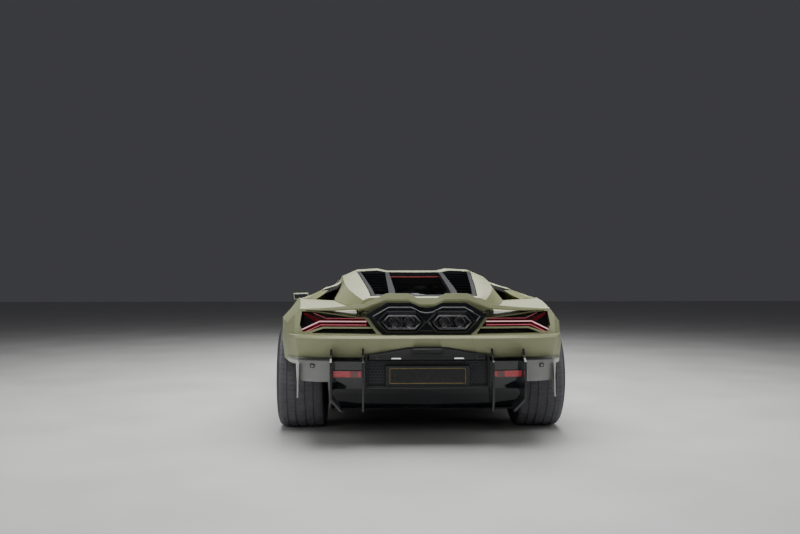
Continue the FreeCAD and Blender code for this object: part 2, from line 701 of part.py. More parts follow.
def build_tail(high, low):
    """Parts the tail into bumper, lamp units, exhaust surround, grille, valance and diffuser."""
    parts = {}
    right = box(0, far, -3000, 3000, -50, far)
    near = tail_y + 172
    front = tail_split_y
    room = wing_space()
    fascia_block = cut_all(prism_y(fascia_outline, near, front), room)
    lamp_pocket = tail_slab(lamp_outline, -60, lamp_depth)
    grille_y = tail_y + 128
    grille_block = prism_y(grille_outline, tail_y - 50, grille_y + 22)
    bumper = high.cut(prism_y(fascia_outline, tail_y - 100, front)).cut(lamp_pocket).cut(grille_block)
    bumper = cut_all(bumper, room)
    for outline, depth in bumper_steps:
        bumper = bumper.cut(tail_slab(outline, -60, depth))
    lip = tail_slab(lip_outline, 5, lamp_depth - lamp_housing)
    blade, ears, pin = build_wing()
    ears = ears[0].fuse(ears[1]).cut(bumper).fuse(pin)
    parts["rear_bumper"] = whole(largest(bumper).fuse(lip).fuse(ears))
    parts["wing"] = blade

    outlet = hexagon(exhaust_x, exhaust_z, exhaust_width, exhaust_height)
    pipe_y = near - 14
    plate_y = pipe_y + pipe_length
    hex_hole = prism_y(outlet, tail_y - 100, plate_y + 30)
    parts["tail_fascia"] = whole(fascia_block.cut(hex_hole).common(right))
    shell = prism_y(outlet, near - 34, plate_y + 30)
    parts["exhaust"] = pair(shell.cut(prism_y(inset(outlet, exhaust_wall), near - 40, plate_y)))
    pipes = []
    for x in (exhaust_x - pipe_spacing / 2, exhaust_x + pipe_spacing / 2):
        start, end = Vector(x, pipe_y, exhaust_z), Vector(x, plate_y, exhaust_z)
        pipe = rod(start, end, pipe_bore + pipe_wall).cut(rod(start, end, pipe_bore))
        pipes += [pipe, mirrored(pipe)]
    parts["tailpipes"] = Part.makeCompound(pipes)

    parts["lamp_housings"] = pair(tail_slab(lamp_outline, lamp_depth - lamp_housing, lamp_depth))
    first, rest = lamp_bars[0], lamp_bars[1:]
    lamp = tail_slab(first, 14, lamp_depth - lamp_housing)
    for bar in rest:
        lamp = lamp.fuse(tail_slab(bar, 14, lamp_depth - lamp_housing))
    lamp = lamp.common(prism_y(lamp_outline, tail_y - 100, rear_axle_y))
    reflector = tail_slab([(418, 455), (602, 455), (602, 497), (418, 497)], -8, 0)
    lamps = [s for s in lamp.cut(lip).Solids]
    lamps.append(reflector)
    parts["tail_lamps"] = Part.makeCompound(lamps + [mirrored(s) for s in lamps])

    grille = prism_y(grille_outline, grille_y, grille_y + 22).common(right)
    full = grille_outline[1:-1] + [(-x, z) for x, z in grille_outline[-2:0:-1]]
    rim_ring = prism_y(full, grille_y - 26, grille_y + 1).cut(prism_y(inset(full, 14), tail_y - 60, grille_y + 2))
    grille = grille.fuse(rim_ring.common(right).cut(bumper))
    carrier = box(0, plate_width / 2 + 6, tail_y + 74, grille_y, plate_centre_z - plate_height / 2 - 6,
                  plate_centre_z + plate_height / 2 + 6)
    screw = rod(Vector(plate_hole_x, tail_y + 70, plate_centre_z),
                Vector(plate_hole_x, tail_y + 94, plate_centre_z), plate_hole_radius)
    parts["rear_grille"] = whole(grille.fuse(carrier.cut(screw)))
    low = low.cut(grille_block)
    outer_zone = box(620, far, -3000, 0, -50, far)
    valance = largest(low.common(outer_zone))
    side_blade = prism_x([(tail_y + 140, 535), (tail_y + 150, 319), (tail_y + 215, 360), (tail_y + 245, 535)],
                         864, 875)
    parts["rear_valance"] = pair(valance.fuse(side_blade))
    diffuser = largest(low.cut(outer_zone))
    for outline in fin_outlines:
        profile = [(tail_y + 84, 636), (tail_y + 60, 590), (tail_y, 556), (tail_y, 305),
                   (tail_y + 36, 242), (tail_y + 190, 262), (tail_y + 190, 560), (tail_y + 150, 580)]
        fin = prism_x(profile, 350, 700).common(prism_y(outline, tail_y - 10, tail_y + 200))
        diffuser = diffuser.fuse(cut_all(fin, [bumper, valance, grille_block, reflector]))
    parts["diffuser"] = whole(diffuser)
    return parts


def tyre(radius, width, rim_radius):
    """Tyre ring about the x axis through its own middle."""
    w = width / 2
    half = [(w * 0.80, rim_radius), (w * 0.97, rim_radius + 16), (w, (radius + rim_radius) / 2),
            (w * 0.97, radius - 28), (w * 0.87, radius - 8), (w * 0.70, radius)]
    return ring_x([(-x, z) for x, z in half] + half[::-1], tyre_sides)


def rim(width, radius, hub_inner, bore_depth):
    """Barrel, hub and forked spokes, about the x axis with the outer face towards +x."""
    w = width * 0.40
    barrel = ring_x([(-w, radius - rim_wall), (-w, radius), (w, radius), (w, radius - 9),
                     (w - 14, radius - rim_wall - 3)], tyre_sides)
    face = w - 14
    hub = bar_x(hub_inner, face - 6, 0, 0, hub_radius, 20)
    inner, outer = hub_radius - 14, radius - rim_wall + 4
    arms = []
    for i in range(spoke_count):
        a = 2 * math.pi * i / spoke_count
        for side in (-1, 1):
            b = a + side * 0.30
            tip = [(math.cos(b + e) * outer, math.sin(b + e) * outer) for e in (-0.07, 0.07)]
            root = [(math.cos(a + e) * inner, math.sin(a + e) * inner) for e in (0.26, -0.26)]
            arms.append(prism_x(tip + root, face - 30, face))
    body = barrel.multiFuse([hub] + arms)
    return body.cut(rod_x(hub_inner - 1, hub_inner + bore_depth, 0, 0, spindle_radius + shaft_fit))


def brake_disc(x0, hat_end):
    """Friction ring with a hat that reaches the hub."""
    x1 = x0 + disc_thickness
    bore, hat = spindle_radius + 3, hub_radius + 12
    return ring_x([(x0, bore), (x0, disc_radius), (x1, disc_radius), (x1, hat), (hat_end, hat),
                   (hat_end, bore)], disc_sides)


def upright(x0, disc_x, reach, front):
    """Wheel carrier with its spindle and a caliper that straddles the disc."""
    body = box(x0, x0 + 45, -45, 45, -150, 150)
    body = body.fuse(rod_x(x0 + 44, reach, 0, 0, spindle_radius))
    span = disc_x + disc_thickness + 44
    caliper = box(x0 + 8, span, 128, 214, -58, 58)
    caliper = caliper.cut(box(disc_x - 7, disc_x + disc_thickness + 7, 100, 205, -70, 70))
    arm = box(x0, x0 + 40, 30, 180, -40, 40)
    side = body.fuse(arm).fuse(caliper)
    return side if front else side.mirror(Vector(0, 0, 0), Vector(0, 1, 0))


def build_wheels():
    """Tyres, rims, discs, steered knuckles and the arms that carry them."""
    parts = {}
    sets = (("front", front_wheel_x, front_axle_y, front_tyre_radius, front_tyre_width, front_rim_radius),
            ("rear", rear_wheel_x, rear_axle_y, rear_tyre_radius, rear_tyre_width, rear_rim_radius))
    arms = []
    for name, x, y, radius, width, rim_radius in sets:
        at = Vector(x, y, radius)
        disc_x = -60.0
        hub_inner = 16.0
        knuckle_x = disc_x - 10 - 45
        pieces = {
            "tyre": tyre(radius, width, rim_radius),
            "rim": rim(width, rim_radius, hub_inner, 52.0),
            "disc": brake_disc(disc_x, hub_inner),
        }
        for key, shape in pieces.items():
            shape.translate(at)
            parts[key + "_" + name + "_right"] = shape
        carrier = upright(knuckle_x, disc_x, hub_inner + 48, name == "front")
        carrier.translate(at)
        wall_x = well_inner_front if name == "front" else well_inner_rear
        pivot_x = x + knuckle_x + 22
        if name == "front":
            pin = rod(Vector(pivot_x, y, radius - 190), Vector(pivot_x, y, radius + 190), kingpin_radius)
            parts["knuckle_right"] = carrier.fuse(pin)
            for z0, z1 in ((radius - 186, radius - 150 - seat_gap), (radius + 150 + seat_gap, radius + 186)):
                eye = bar_z(pivot_x, y, z0, z1, 28)
                arm = prism_z([(wall_x, y - 150), (pivot_x - 10, y - 26), (pivot_x - 10, y + 26),
                               (wall_x, y + 150), (wall_x, y + 96), (pivot_x - 70, y), (wall_x, y - 96)],
                              z0 + 4, z0 + 30)
                arms.append(eye.fuse(arm).cut(
                    rod(Vector(pivot_x, y, z0 - 1), Vector(pivot_x, y, z1 + 1), kingpin_radius + shaft_fit)))
        else:
            side = carrier
            for z0 in (radius - 150, radius + 120):
                side = side.fuse(prism_z([(wall_x, y - 150), (pivot_x, y - 36), (pivot_x, y + 36),
                                          (wall_x, y + 150), (wall_x, y + 96), (pivot_x - 50, y),
                                          (wall_x, y - 96)], z0, z0 + 26))
            arms.append(side)
    parts["suspension_arms"] = Part.makeCompound(arms + [mirrored(a) for a in arms])
    return parts


def build_mirror():
    """Door mirror: a tapered head on a thin stalk that stands on the door."""
    y = front_axle_y - 748
    outline = [(986, 862), (1126, 872), (1133, 932), (996, 936)]
    head = prism_y(outline, y - 46, y + 78)
    plan = prism_z([(960, y - 46), (1150, y - 46), (1150, y - 10), (1104, y + 78), (1012, y + 78), (960, y)],
                   800, 1000)
    side = prism_x([(y - 46, 850), (y - 46, 950), (y - 10, 950), (y + 78, 916), (y + 78, 882), (y, 850)],
                   900, 1200)
    stalk = prism_y([(842, 752), (1012, 872), (1012, 884), (842, 790)], y - 6, y + 34)
    return head.common(plan).common(side), stalk


def build_cabin():
    """Seats, dashboard with the steering wheel, and the engine block."""
    f, r = front_axle_y, rear_axle_y
    parts = {}
    floor = cabin_floor
    x0, x1 = 150.0, 630.0
    y = bulkhead_y
    base = prism_x([(y + 230, floor), (y + 760, floor), (y + 790, floor + 190), (y + 200, floor + 130)],
                   x0, x1)
    back = prism_x([(y + 190, floor + 110), (y + 330, floor + 140), (y + 120, floor + 640),
                    (y + 110, floor + 790), (y + 40, floor + 790), (y + 30, floor + 600)], x0 + 20, x1 - 20)
    shoulders = prism_y([(x0 + 20, floor + 100), (x1 - 20, floor + 100), (x1 - 20, floor + 560),
                         (x1 - 150, floor + 700), (x1 - 165, floor + 790), (x0 + 165, floor + 790),
                         (x0 + 150, floor + 700), (x0 + 20, floor + 560)], y, y + 500)
    parts["seats"] = pair(base.fuse(back.common(shoulders)))
    wall = cabin_front_y - 130
    dash = prism_x([(wall, 470), (wall, 730), (wall - 60, 740), (wall - 200, 690), (wall - 215, 600),
                    (wall - 110, 520)], 0, cabin_half_width - 4)
    dash = whole(dash)
    console = prism_x([(wall - 110, floor), (wall - 110, 560), (wall - 200, 560), (y + 200, floor + 250),
                       (y, floor + 250), (y, floor)], -110, 110)
    centre = Vector(-390, wall - 330, 655)
    lean = Vector(0, -math.cos(math.radians(24)), math.sin(math.radians(24)))
    grip = [(14 * math.cos(math.radians(60 * i)), 176 + 14 * math.sin(math.radians(60 * i))) for i in range(6)]
    ring = ring_x(grip, 32)
    ring.rotate(Vector(0, 0, 0), Vector(0, 0, 1), -90)
    ring.rotate(Vector(0, 0, 0), Vector(1, 0, 0), -24)
    ring.translate(centre)
    hub = Part.makeCylinder(46, 34, centre - lean * 22, lean)
    column = rod(centre - lean * 20, centre - lean * 180, 26)
    spoke = Part.makeBox(352, 40, 16, Vector(-176, -20, -8))
    spoke.rotate(Vector(0, 0, 0), Vector(1, 0, 0), 66)
    spoke.translate(centre)
    parts["dashboard"] = dash.fuse(console).multiFuse([ring, hub, column, spoke])
    rear = r + 70
    front = bulkhead_y - bulkhead_thickness - 20
    block = prism_y([(0, 180), (190, 180), (230, 330), (330, 600), (300, 760), (190, 800), (60, 700), (0, 700)],
                    rear, front)
    plenum = prism_y([(70, 700), (210, 790), (240, 850), (200, 900), (90, 900), (50, 860)], rear + 60, front - 60)
    bridge = box(0, 80, rear + 90, front - 90, 690, 800)
    runners = []
    pitch = (front - rear - 240) / 6
    for i in range(6):
        y0 = rear + 120 + pitch * (i + 0.2)
        runners.append(prism_y([(226, 846), (250, 862), (318, 770), (296, 740)], y0, y0 + pitch * 0.6))
        runners.append(box(0, 196, y0, y0 + pitch * 0.3, 880, 912))
    parts["engine"] = whole(block.fuse(plenum).fuse(bridge).multiFuse(runners))
    return parts


def build_nose(nose):
    """Cuts the lamp slots and intakes into the nose and fills them."""
    f = front_axle_y
    sweep_cut = nose_cutter()
    ahead = sweep_cut.translated(Vector(0, -60, 0))
    lamp = [(858, 520), (560, 452), (470, 440), (520, 426), (640, 420), (800, 400), (700, 448)]
    slot = prism_y(lamp, f, nose_y + 50)
    pocket = slot.common(ahead)
    unit = slot.common(sweep_cut.translated(Vector(0, -60, 0))).cut(sweep_cut.translated(Vector(0, -12, 0)))
    intake = prism_y([(300, 200), (800, 200), (760, 385), (640, 400), (420, 350)], f, nose_y + 50)
    deep = sweep_cut.translated(Vector(0, -95, 0))
    mouth = intake.common(deep)
    mesh = intake.common(deep).cut(sweep_cut.translated(Vector(0, -75, 0)))
    shape = nose.cut(pocket).cut(mouth)
    return shape, unit, mesh


def main():
    os.makedirs("parts", exist_ok=True)
    body = build_body()
    nose, lamp, mesh = build_nose(body["nose"])
    parts = {
        "tub": whole(body["tub"]),
        "nose": whole(nose),
        "headlamps": pair(lamp),
        "front_grilles": pair(mesh),
        "roof": whole(body["roof"]),
        "cabin_glass": Part.makeCompound([whole(body["windscreen"]), whole(body["rear_window"])]),
        "side_grilles": pair(body["side_grille_right"]),
        "skirts": Part.makeCompound([whole(body["splitter"]), body["skirt"], mirrored(body["skirt"])]),
        "front_lid": whole(body["front_lid"]),
        "engine_lid": whole(body["engine_lid"]),
    }
    parts.update(build_tail(body["tail_high"], body["tail_low"]))
    parts.update(build_cabin())
    rights = {name: body[name] for name in ("front_fender_right", "rear_quarter_right", "door_right",
                                            "door_glass_right")}
    head, stalk = build_mirror()
    rights["mirror_right"] = head.fuse(largest(stalk.cut(body["door_right"])))
    wheels = build_wheels()
    parts["suspension_arms"] = wheels.pop("suspension_arms")
    rights.update(wheels)
    for name, shape in rights.items():
        parts[name] = shape
        parts[name.replace("_right", "_left")] = mirrored(shape)
    for name, shape in sorted(parts.items()):
        print(name, shape.isValid(), len(shape.Solids), round(shape.Volume / 1e6, 1))
        shape.exportStep("parts/" + name + ".step")


main()
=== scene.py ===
import json
import math
import bmesh
import bpy
import numpy as np
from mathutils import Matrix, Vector
from mathutils.bvhtree import BVHTree

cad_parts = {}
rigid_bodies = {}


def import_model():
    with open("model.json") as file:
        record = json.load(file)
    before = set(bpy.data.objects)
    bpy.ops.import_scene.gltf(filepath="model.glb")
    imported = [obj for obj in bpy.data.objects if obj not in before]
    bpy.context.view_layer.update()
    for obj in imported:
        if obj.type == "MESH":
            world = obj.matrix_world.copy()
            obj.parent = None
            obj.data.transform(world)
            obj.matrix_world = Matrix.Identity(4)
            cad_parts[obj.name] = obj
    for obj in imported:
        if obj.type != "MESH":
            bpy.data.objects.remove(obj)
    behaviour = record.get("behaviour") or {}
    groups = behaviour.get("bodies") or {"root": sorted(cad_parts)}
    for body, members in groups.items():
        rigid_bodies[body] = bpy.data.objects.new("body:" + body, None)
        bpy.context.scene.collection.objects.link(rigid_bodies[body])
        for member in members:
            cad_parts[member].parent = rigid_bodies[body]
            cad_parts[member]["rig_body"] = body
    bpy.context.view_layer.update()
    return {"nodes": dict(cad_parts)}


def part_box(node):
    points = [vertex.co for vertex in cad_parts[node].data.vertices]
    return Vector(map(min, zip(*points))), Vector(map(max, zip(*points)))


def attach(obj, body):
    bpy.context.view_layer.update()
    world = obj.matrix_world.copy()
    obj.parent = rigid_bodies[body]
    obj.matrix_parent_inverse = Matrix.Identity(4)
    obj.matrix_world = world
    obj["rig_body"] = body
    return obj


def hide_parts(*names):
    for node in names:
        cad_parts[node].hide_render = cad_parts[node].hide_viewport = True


# A low mid-engined coupe: soft-edged copies of the CAD nodes in their real finishes, and the finer pieces
# that are worked out here. Places are in metres, as in the part: +X right, +Y forward, +Z up.
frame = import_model()
nodes = frame["nodes"]
scene = bpy.context.scene
print("frame loaded")

# Main places, the same as in the part
tailY = -2.4735
noseY = 2.4735
rearAxle = -1.4585
frontAxle = 1.3205
bulkheadY = rearAxle + 0.898
lidFront = bulkheadY - 0.090
lidRear = rearAxle - 0.560

# Finishes


# Linear colour from an sRGB hex string: a channel near black is divided by 12.92, any other is
# ((c + 0.055) / 1.055) to the power 2.4
def srgb(hexText):
    parts = [int(hexText[i:i + 2], 16) / 255 for i in (0, 2, 4)]
    return [p / 12.92 if p <= 0.04045 else ((p + 0.055) / 1.055) ** 2.4 for p in parts] + [1.0]


# Adds a shader node, sets its values and links its inputs; each link is (node, output name)
def addNode(mat, kind, settings=None, **links):
    node = mat.node_tree.nodes.new(kind)
    for key, value in (settings or {}).items():
        if hasattr(node, key):
            setattr(node, key, value)
        else:
            node.inputs[key].default_value = value
    for key, (source, output) in links.items():
        mat.node_tree.links.new(source.outputs[output], node.inputs[key.replace("_", " ")])
    return node


# What every finish shares: the stretch of the wide noise between its two shades, the stretch that moves
# the roughness, the noise's detail and how strongly the bump tells
finishValues = {"shadeStops": (0.35, 0.65), "roughStops": (0.3, 0.7), "detail": 4.0, "bumpStrength": 0.7}


# Two near shades drift over wide noise, which also moves the roughness by spread each way; a fine texture
# gives the bump. Sizes are in millimetres, so a texture's scale is 1000 over its size. grain picks the fine
# texture's kind, stretch draws it out into streaks, and values go straight to the shader's own sockets.
def surface(name, low, high, driftMm, rough, spread, bumpMm, grainMm, grain="Noise", stretch=(1, 1, 1),
            **values):
    mat = bpy.data.materials.new(name)
    mat.use_nodes = True
    shader = mat.node_tree.nodes["Principled BSDF"]
    for key, value in values.items():
        shader.inputs[key.replace("_", " ")].default_value = value
    place = addNode(mat, "ShaderNodeTexCoord")
    wide = addNode(mat, "ShaderNodeTexNoise", {"Scale": 1000 / driftMm, "Detail": finishValues["detail"]},
                   Vector=(place, "Object"))
    tint = addNode(mat, "ShaderNodeValToRGB", Fac=(wide, "Fac"))
    for stop, at, shade in zip(tint.color_ramp.elements, finishValues["shadeStops"], (low, high)):
        stop.position = at
        stop.color = srgb(shade)
    roughLow, roughHigh = finishValues["roughStops"]
    span = addNode(mat, "ShaderNodeMapRange", {"From Min": roughLow, "From Max": roughHigh,
                                               "To Min": rough - spread, "To Max": rough + spread},
                   Value=(wide, "Fac"))
    drawn = addNode(mat, "ShaderNodeMapping", {"Scale": stretch}, Vector=(place, "Object"))
    fineKind, height = {"Noise": ("ShaderNodeTexNoise", "Fac"),
                        "Cells": ("ShaderNodeTexVoronoi", "Distance")}[grain]
    fine = addNode(mat, fineKind, {"Scale": 1000 / grainMm}, Vector=(drawn, "Vector"))
    bump = addNode(mat, "ShaderNodeBump", {"Strength": finishValues["bumpStrength"],
                                           "Distance": bumpMm / 1000}, Height=(fine, height))
    links = mat.node_tree.links
    links.new(tint.outputs["Color"], shader.inputs["Base Color"])
    links.new(span.outputs["Result"], shader.inputs["Roughness"])
    links.new(bump.outputs["Normal"], shader.inputs["Normal"])
    return mat


# Body paint, sprayed: a coat with fine aluminium flake under a satin clear coat. Broad soft highlights and
# a faint sparkle. The flake is 0.1 mm in life and is drawn at 2 mm, as coarse as it needs to show.
oliveSatinPaint = surface("oliveSatinPaint", "8d916e", "919571", driftMm=260, rough=0.46, spread=0.03,
                          bumpMm=0.02, grainMm=2.0, grain="Cells", Metallic=0.15, Coat_Weight=0.12,
                          Coat_Roughness=0.42)
# The same sprayed coat in grey on the lower rear panels, with more flake: a colder, more metallic sheen
greySatinPaint = surface("greySatinPaint", "7c7d7c", "858685", driftMm=120, rough=0.42, spread=0.03,
                         bumpMm=0.02, grainMm=2.0, grain="Cells", Metallic=0.35, Coat_Weight=0.2,
                         Coat_Roughness=0.4)
# Moulded plastic under black lacquer: dark and mirror-like, with a slight ripple of 9 mm from the mould
blackLacquer = surface("blackLacquer", "17191c", "1e2024", driftMm=80, rough=0.12, spread=0.04,
                       bumpMm=0.03, grainMm=9.0, Coat_Weight=0.5, Coat_Roughness=0.06)
# Moulded ABS with an etched leather-like grain of about 1 mm: an even soft sheen without highlights
grainedAbs = surface("grainedAbs", "151617", "1b1c1e", driftMm=60, rough=0.5, spread=0.06, bumpMm=0.10,
                     grainMm=1.3, grain="Cells")
# Satin black powder coat on the deck's rails and louvres: hardly any highlight, so that the gaps between
# the slats read as dark lines. The coat's skin is drawn at 2.5 mm, coarser than in life.
satinBlack = surface("satinBlack", "17181a", "1f2023", driftMm=70, rough=0.55, spread=0.05, bumpMm=0.03,
                     grainMm=2.5, Specular_IOR_Level=0.08)
# Moulded nylon mesh, coloured a shade lighter than the panels round it
meshBlack = surface("meshBlack", "34353a", "42434a", driftMm=20, rough=0.35, spread=0.05, bumpMm=0.05,
                    grainMm=1.5)
# Aluminium blade beside the lower panels, sprayed pale satin: a light edge against the dark tyre
paleSatin = surface("paleSatin", "b4b5ae", "c0c1ba", driftMm=60, rough=0.40, spread=0.03, bumpMm=0.02,
                    grainMm=2.0, grain="Cells", Metallic=0.2)
# Needled felt pressed into shape: no shine at all. In the wheel wells it is the real liner; on the paint's
# other hidden sides (intake throats, cabin sides, undersides, bay faces) it is painted shade, a dark sheet
# that keeps them dark
feltLinerAndPaintedShade = surface("feltLinerAndPaintedShade", "0f0f10", "161617", driftMm=25, rough=0.86, spread=0.05, bumpMm=0.25,
                    grainMm=2.4)
# Vulcanised rubber on the tread, coloured a lighter grey than on the sidewalls: matt, with a fine tooth
tyreRubber = surface("tyreRubber", "56565b", "626268", driftMm=60, rough=0.74, spread=0.06, bumpMm=0.12,
                     grainMm=1.2)
# The same rubber on the sidewalls: a darker grey, and smoother from the mould
sidewallRubber = surface("sidewallRubber", "2c2c2f", "313135", driftMm=120, rough=0.62, spread=0.05,
                         bumpMm=0.06, grainMm=1.2)
# Forged aluminium, machined and coated satin black: tight highlights along its edges
blackForged = surface("blackForged", "1a1b1d", "232427", driftMm=45, rough=0.34, spread=0.05, bumpMm=0.02,
                      grainMm=1.2, Metallic=0.7)
# Ground cast iron: bright, with fine scratches drawn out along x
groundIron = surface("groundIron", "7c7d7f", "868789", driftMm=60, rough=0.32, spread=0.05, bumpMm=0.02,
                     grainMm=0.8, stretch=(0.1, 1, 1), Metallic=1.0)
# Drawn stainless tube, heat-tinted: brown-grey, brushed along its length
drawnSteel = surface("drawnSteel", "55555a", "6d6b6c", driftMm=22, rough=0.28, spread=0.06, bumpMm=0.03,
                     grainMm=0.9, stretch=(1, 0.08, 1), Metallic=1.0)
# Injection-moulded red acrylic lens, polished: deep colour under a hard bright skin
redLens = surface("redLens", "570b16", "74101f", driftMm=25, rough=0.10, spread=0.03, bumpMm=0.01,
                  grainMm=3.0, Coat_Weight=1.0, Coat_Roughness=0.03)
# Milky moulded light guide behind the lens: it glows pink where the light leaves it
glowGuide = surface("glowGuide", "c9566a", "d86f80", driftMm=15, rough=0.3, spread=0.05, bumpMm=0.01,
                    grainMm=2.0, Emission_Color=srgb("f0788a"), Emission_Strength=0.35)
# The same guide where it is brightest, nearly white
glowBright = surface("glowBright", "f0a9b6", "f6bfc9", driftMm=15, rough=0.3, spread=0.05, bumpMm=0.01,
                     grainMm=2.0, Emission_Color=srgb("ffc4d0"), Emission_Strength=0.55)
# Moulded red reflector: its prisms of about 3 mm break the light into small facets
prismLens = surface("prismLens", "a81525", "c2202f", driftMm=18, rough=0.14, spread=0.04, bumpMm=0.35,
                    grainMm=3.0, grain="Cells", Coat_Weight=1.0)
# Silvered bowl behind a clear moulded lens: bright metal under a glassy coat
silveredBowl = surface("silveredBowl", "83878c", "a4a8ad", driftMm=20, rough=0.16, spread=0.05, bumpMm=0.05,
                       grainMm=4.0, Metallic=0.8, Coat_Weight=1.0)
# Milky moulded strip over white diodes: an even cold glow
whiteGuide = surface("whiteGuide", "dfe3e8", "f2f4f6", driftMm=15, rough=0.3, spread=0.05, bumpMm=0.01,
                     grainMm=2.0, Emission_Color=srgb("f4f7ff"), Emission_Strength=0.5)
# Dyed cowhide, embossed: a grain of about 1.6 mm with a soft sheen on its tops
blackHide = surface("blackHide", "18181a", "202022", driftMm=40, rough=0.5, spread=0.07, bumpMm=0.22,
                    grainMm=1.6, grain="Cells")
# Short-pile microfibre, brushed: matt, and paler where it is seen at a slant
microSuede = surface("microSuede", "2b2b2e", "353538", driftMm=30, rough=0.85, spread=0.05, bumpMm=0.12,
                     grainMm=0.8, Sheen_Weight=0.35, Sheen_Roughness=0.5)
# Sand-cast aluminium covers: a coarse skin of about 1.5 mm that breaks up the highlights
castAlloy = surface("castAlloy", "5f6063", "787a7d", driftMm=20, rough=0.5, spread=0.08, bumpMm=0.18,
                    grainMm=1.5, Metallic=0.9)
# Laminated float glass, tinted grey: sharp reflections and a dim view of the cabin
tintedGlass = surface("tintedGlass", "0a0c0e", "0f1214", driftMm=160, rough=0.05, spread=0.01,
                      bumpMm=0.0003, grainMm=90, Alpha=0.55)
# Float glass silvered at its back: a plain mirror
mirrorGlass = surface("mirrorGlass", "b9bcbf", "c4c7c9", driftMm=60, rough=0.04, spread=0.01, bumpMm=0.003,
                      grainMm=20, Metallic=1.0)
# Stove-enamelled steel plate, left blank: nearly black with a soft shine
plateEnamel = surface("plateEnamel", "121314", "191a1b", driftMm=40, rough=0.3, spread=0.04, bumpMm=0.02,
                      grainMm=2.0)
# Pressed brass edge of the plate: dull gold with fine wear
plateBrass = surface("plateBrass", "8d7a4d", "a08c5c", driftMm=20, rough=0.35, spread=0.05, bumpMm=0.02,
                     grainMm=1.0, Metallic=1.0)
# Turned steel of caps and pins: bright, with fine tool marks
turnedSteel = surface("turnedSteel", "86888b", "a0a2a5", driftMm=10, rough=0.3, spread=0.06, bumpMm=0.03,
                      grainMm=0.7, Metallic=1.0)
# Red lacquered aluminium strip: a dark red line with a thin gloss
redTrim = surface("redTrim", "7c1a1a", "97241f", driftMm=30, rough=0.3, spread=0.05, bumpMm=0.02,
                  grainMm=2.0, Coat_Weight=0.5)
# Bonded cover glass of the screens, switched off: black and smooth
screenGlass = surface("screenGlass", "08090b", "0d1014", driftMm=60, rough=0.08, spread=0.02, bumpMm=0.003,
                      grainMm=15)
# Sealed pale concrete of the floor: matt, with a wide drift of shade
paleFloor = surface("paleFloor", "c4c4c2", "cdcdcb", driftMm=900, rough=0.5, spread=0.03, bumpMm=0.1,
                    grainMm=8)
print("finishes made")

# Shapes: a shell is its points and its faces


# A grid of points (rows, columns, 3) becomes quads. Rows are closed loops; the end rows get flat caps, or
# the last row joins the first. Faces point outwards: the sum of the volumes between each triangle and the
# middle of all points has to be positive.
def skin(grid, joinEnds=False):
    grid = np.asarray(grid, float)
    rows, count = grid.shape[:2]
    index = np.arange(rows * count).reshape(rows, count)
    ring = np.concatenate([index, index[:, :1]], axis=1)
    if joinEnds:
        ring = np.concatenate([ring, ring[:1]], axis=0)
    quads = np.stack([ring[:-1, :-1], ring[:-1, 1:], ring[1:, 1:], ring[1:, :-1]], -1)
    faces = quads.reshape(-1, 4).tolist()
    if not joinEnds:
        faces += [index[0, ::-1].tolist(), index[-1].tolist()]
    points = grid.reshape(-1, 3)
    middle = points - points.mean(0)
    held = 0.0
    for size in {len(face) for face in faces}:
        corner = middle[np.array([face for face in faces if len(face) == size])]
        for i in range(1, size - 1):
            held += np.einsum("ij,ij->", corner[:, 0], np.cross(corner[:, i], corner[:, i + 1]))
    return points, faces if held > 0 else [face[::-1] for face in faces]


# Outline (u, v) with every edge moved inwards by depth: a corner moves by depth times the sum of its two
# edges' normals over one plus their dot product
def shrunk(outline, depth):
    p = np.asarray(outline, float)
    edge = np.roll(p, -1, 0) - p
    area = np.sum(p[:, 0] * np.roll(p[:, 1], -1) - np.roll(p[:, 0], -1) * p[:, 1])
    normal = np.stack([-edge[:, 1], edge[:, 0]], 1) / np.linalg.norm(edge, axis=1)[:, None] * np.sign(area)
    pairSum = normal + np.roll(normal, 1, 0)
    return p + depth * pairSum / (1 + np.sum(normal * np.roll(normal, 1, 0), 1))[:, None]


# One row for each (inset, height) pair: u, v and height along the three axes, from the origin
def outlineRows(outline, layers, axes, origin):
    u, v, h = (np.asarray(a, float) for a in axes)
    rows = []
    for inset, height in layers:
        p = shrunk(outline, inset)
        rows.append(p[:, :1] * u + p[:, 1:] * v + height * h + np.asarray(origin, float))
    return np.array(rows)


# A closed body from layers of one outline, from the back to the front
def layered(outline, layers, axes, origin=(0, 0, 0)):
    return skin(outlineRows(outline, layers, axes, origin))


# A ring with an outline as its path: the (inset, height) pairs go once round its section
def framed(outline, section, axes, origin=(0, 0, 0)):
    return skin(outlineRows(outline, section, axes, origin), joinEnds=True)


# A section (side, up) carried along a path: side is the path's direction crossed with up, and the section's
# own up is side crossed with the path
def carried(path, section, up=(0, 0, 1)):
    path, section = np.asarray(path, float), np.asarray(section, float)
    along = np.gradient(path, axis=0)
    along /= np.linalg.norm(along, axis=1)[:, None]
    side = np.cross(along, np.asarray(up, float))
    side /= np.linalg.norm(side, axis=1)[:, None]
    top = np.cross(side, along)
    return skin(path[:, None] + side[:, None] * section[None, :, :1] + top[:, None] * section[None, :, 1:])


# A regular outline: radius times (cos a, squash * sin a) at count equal angles
def circle(radius, count, squash=1.0):
    a = np.linspace(0, 2 * math.pi, count, endpoint=False)
    return np.stack([radius * np.cos(a), radius * squash * np.sin(a)], 1)


# A rectangle about its middle: a quarter circle of the given radius round each corner's own centre
def rounded(width, height, radius, steps=4):
    points = []
    for cx, cy, start in ((1, 1, 0), (-1, 1, 90), (-1, -1, 180), (1, -1, 270)):
        a = np.radians(np.linspace(start, start + 90, steps + 1))
        points.append(np.stack([cx * (width / 2 - radius) + radius * np.cos(a),
                                cy * (height / 2 - radius) + radius * np.sin(a)], 1))
    return np.concatenate(points)


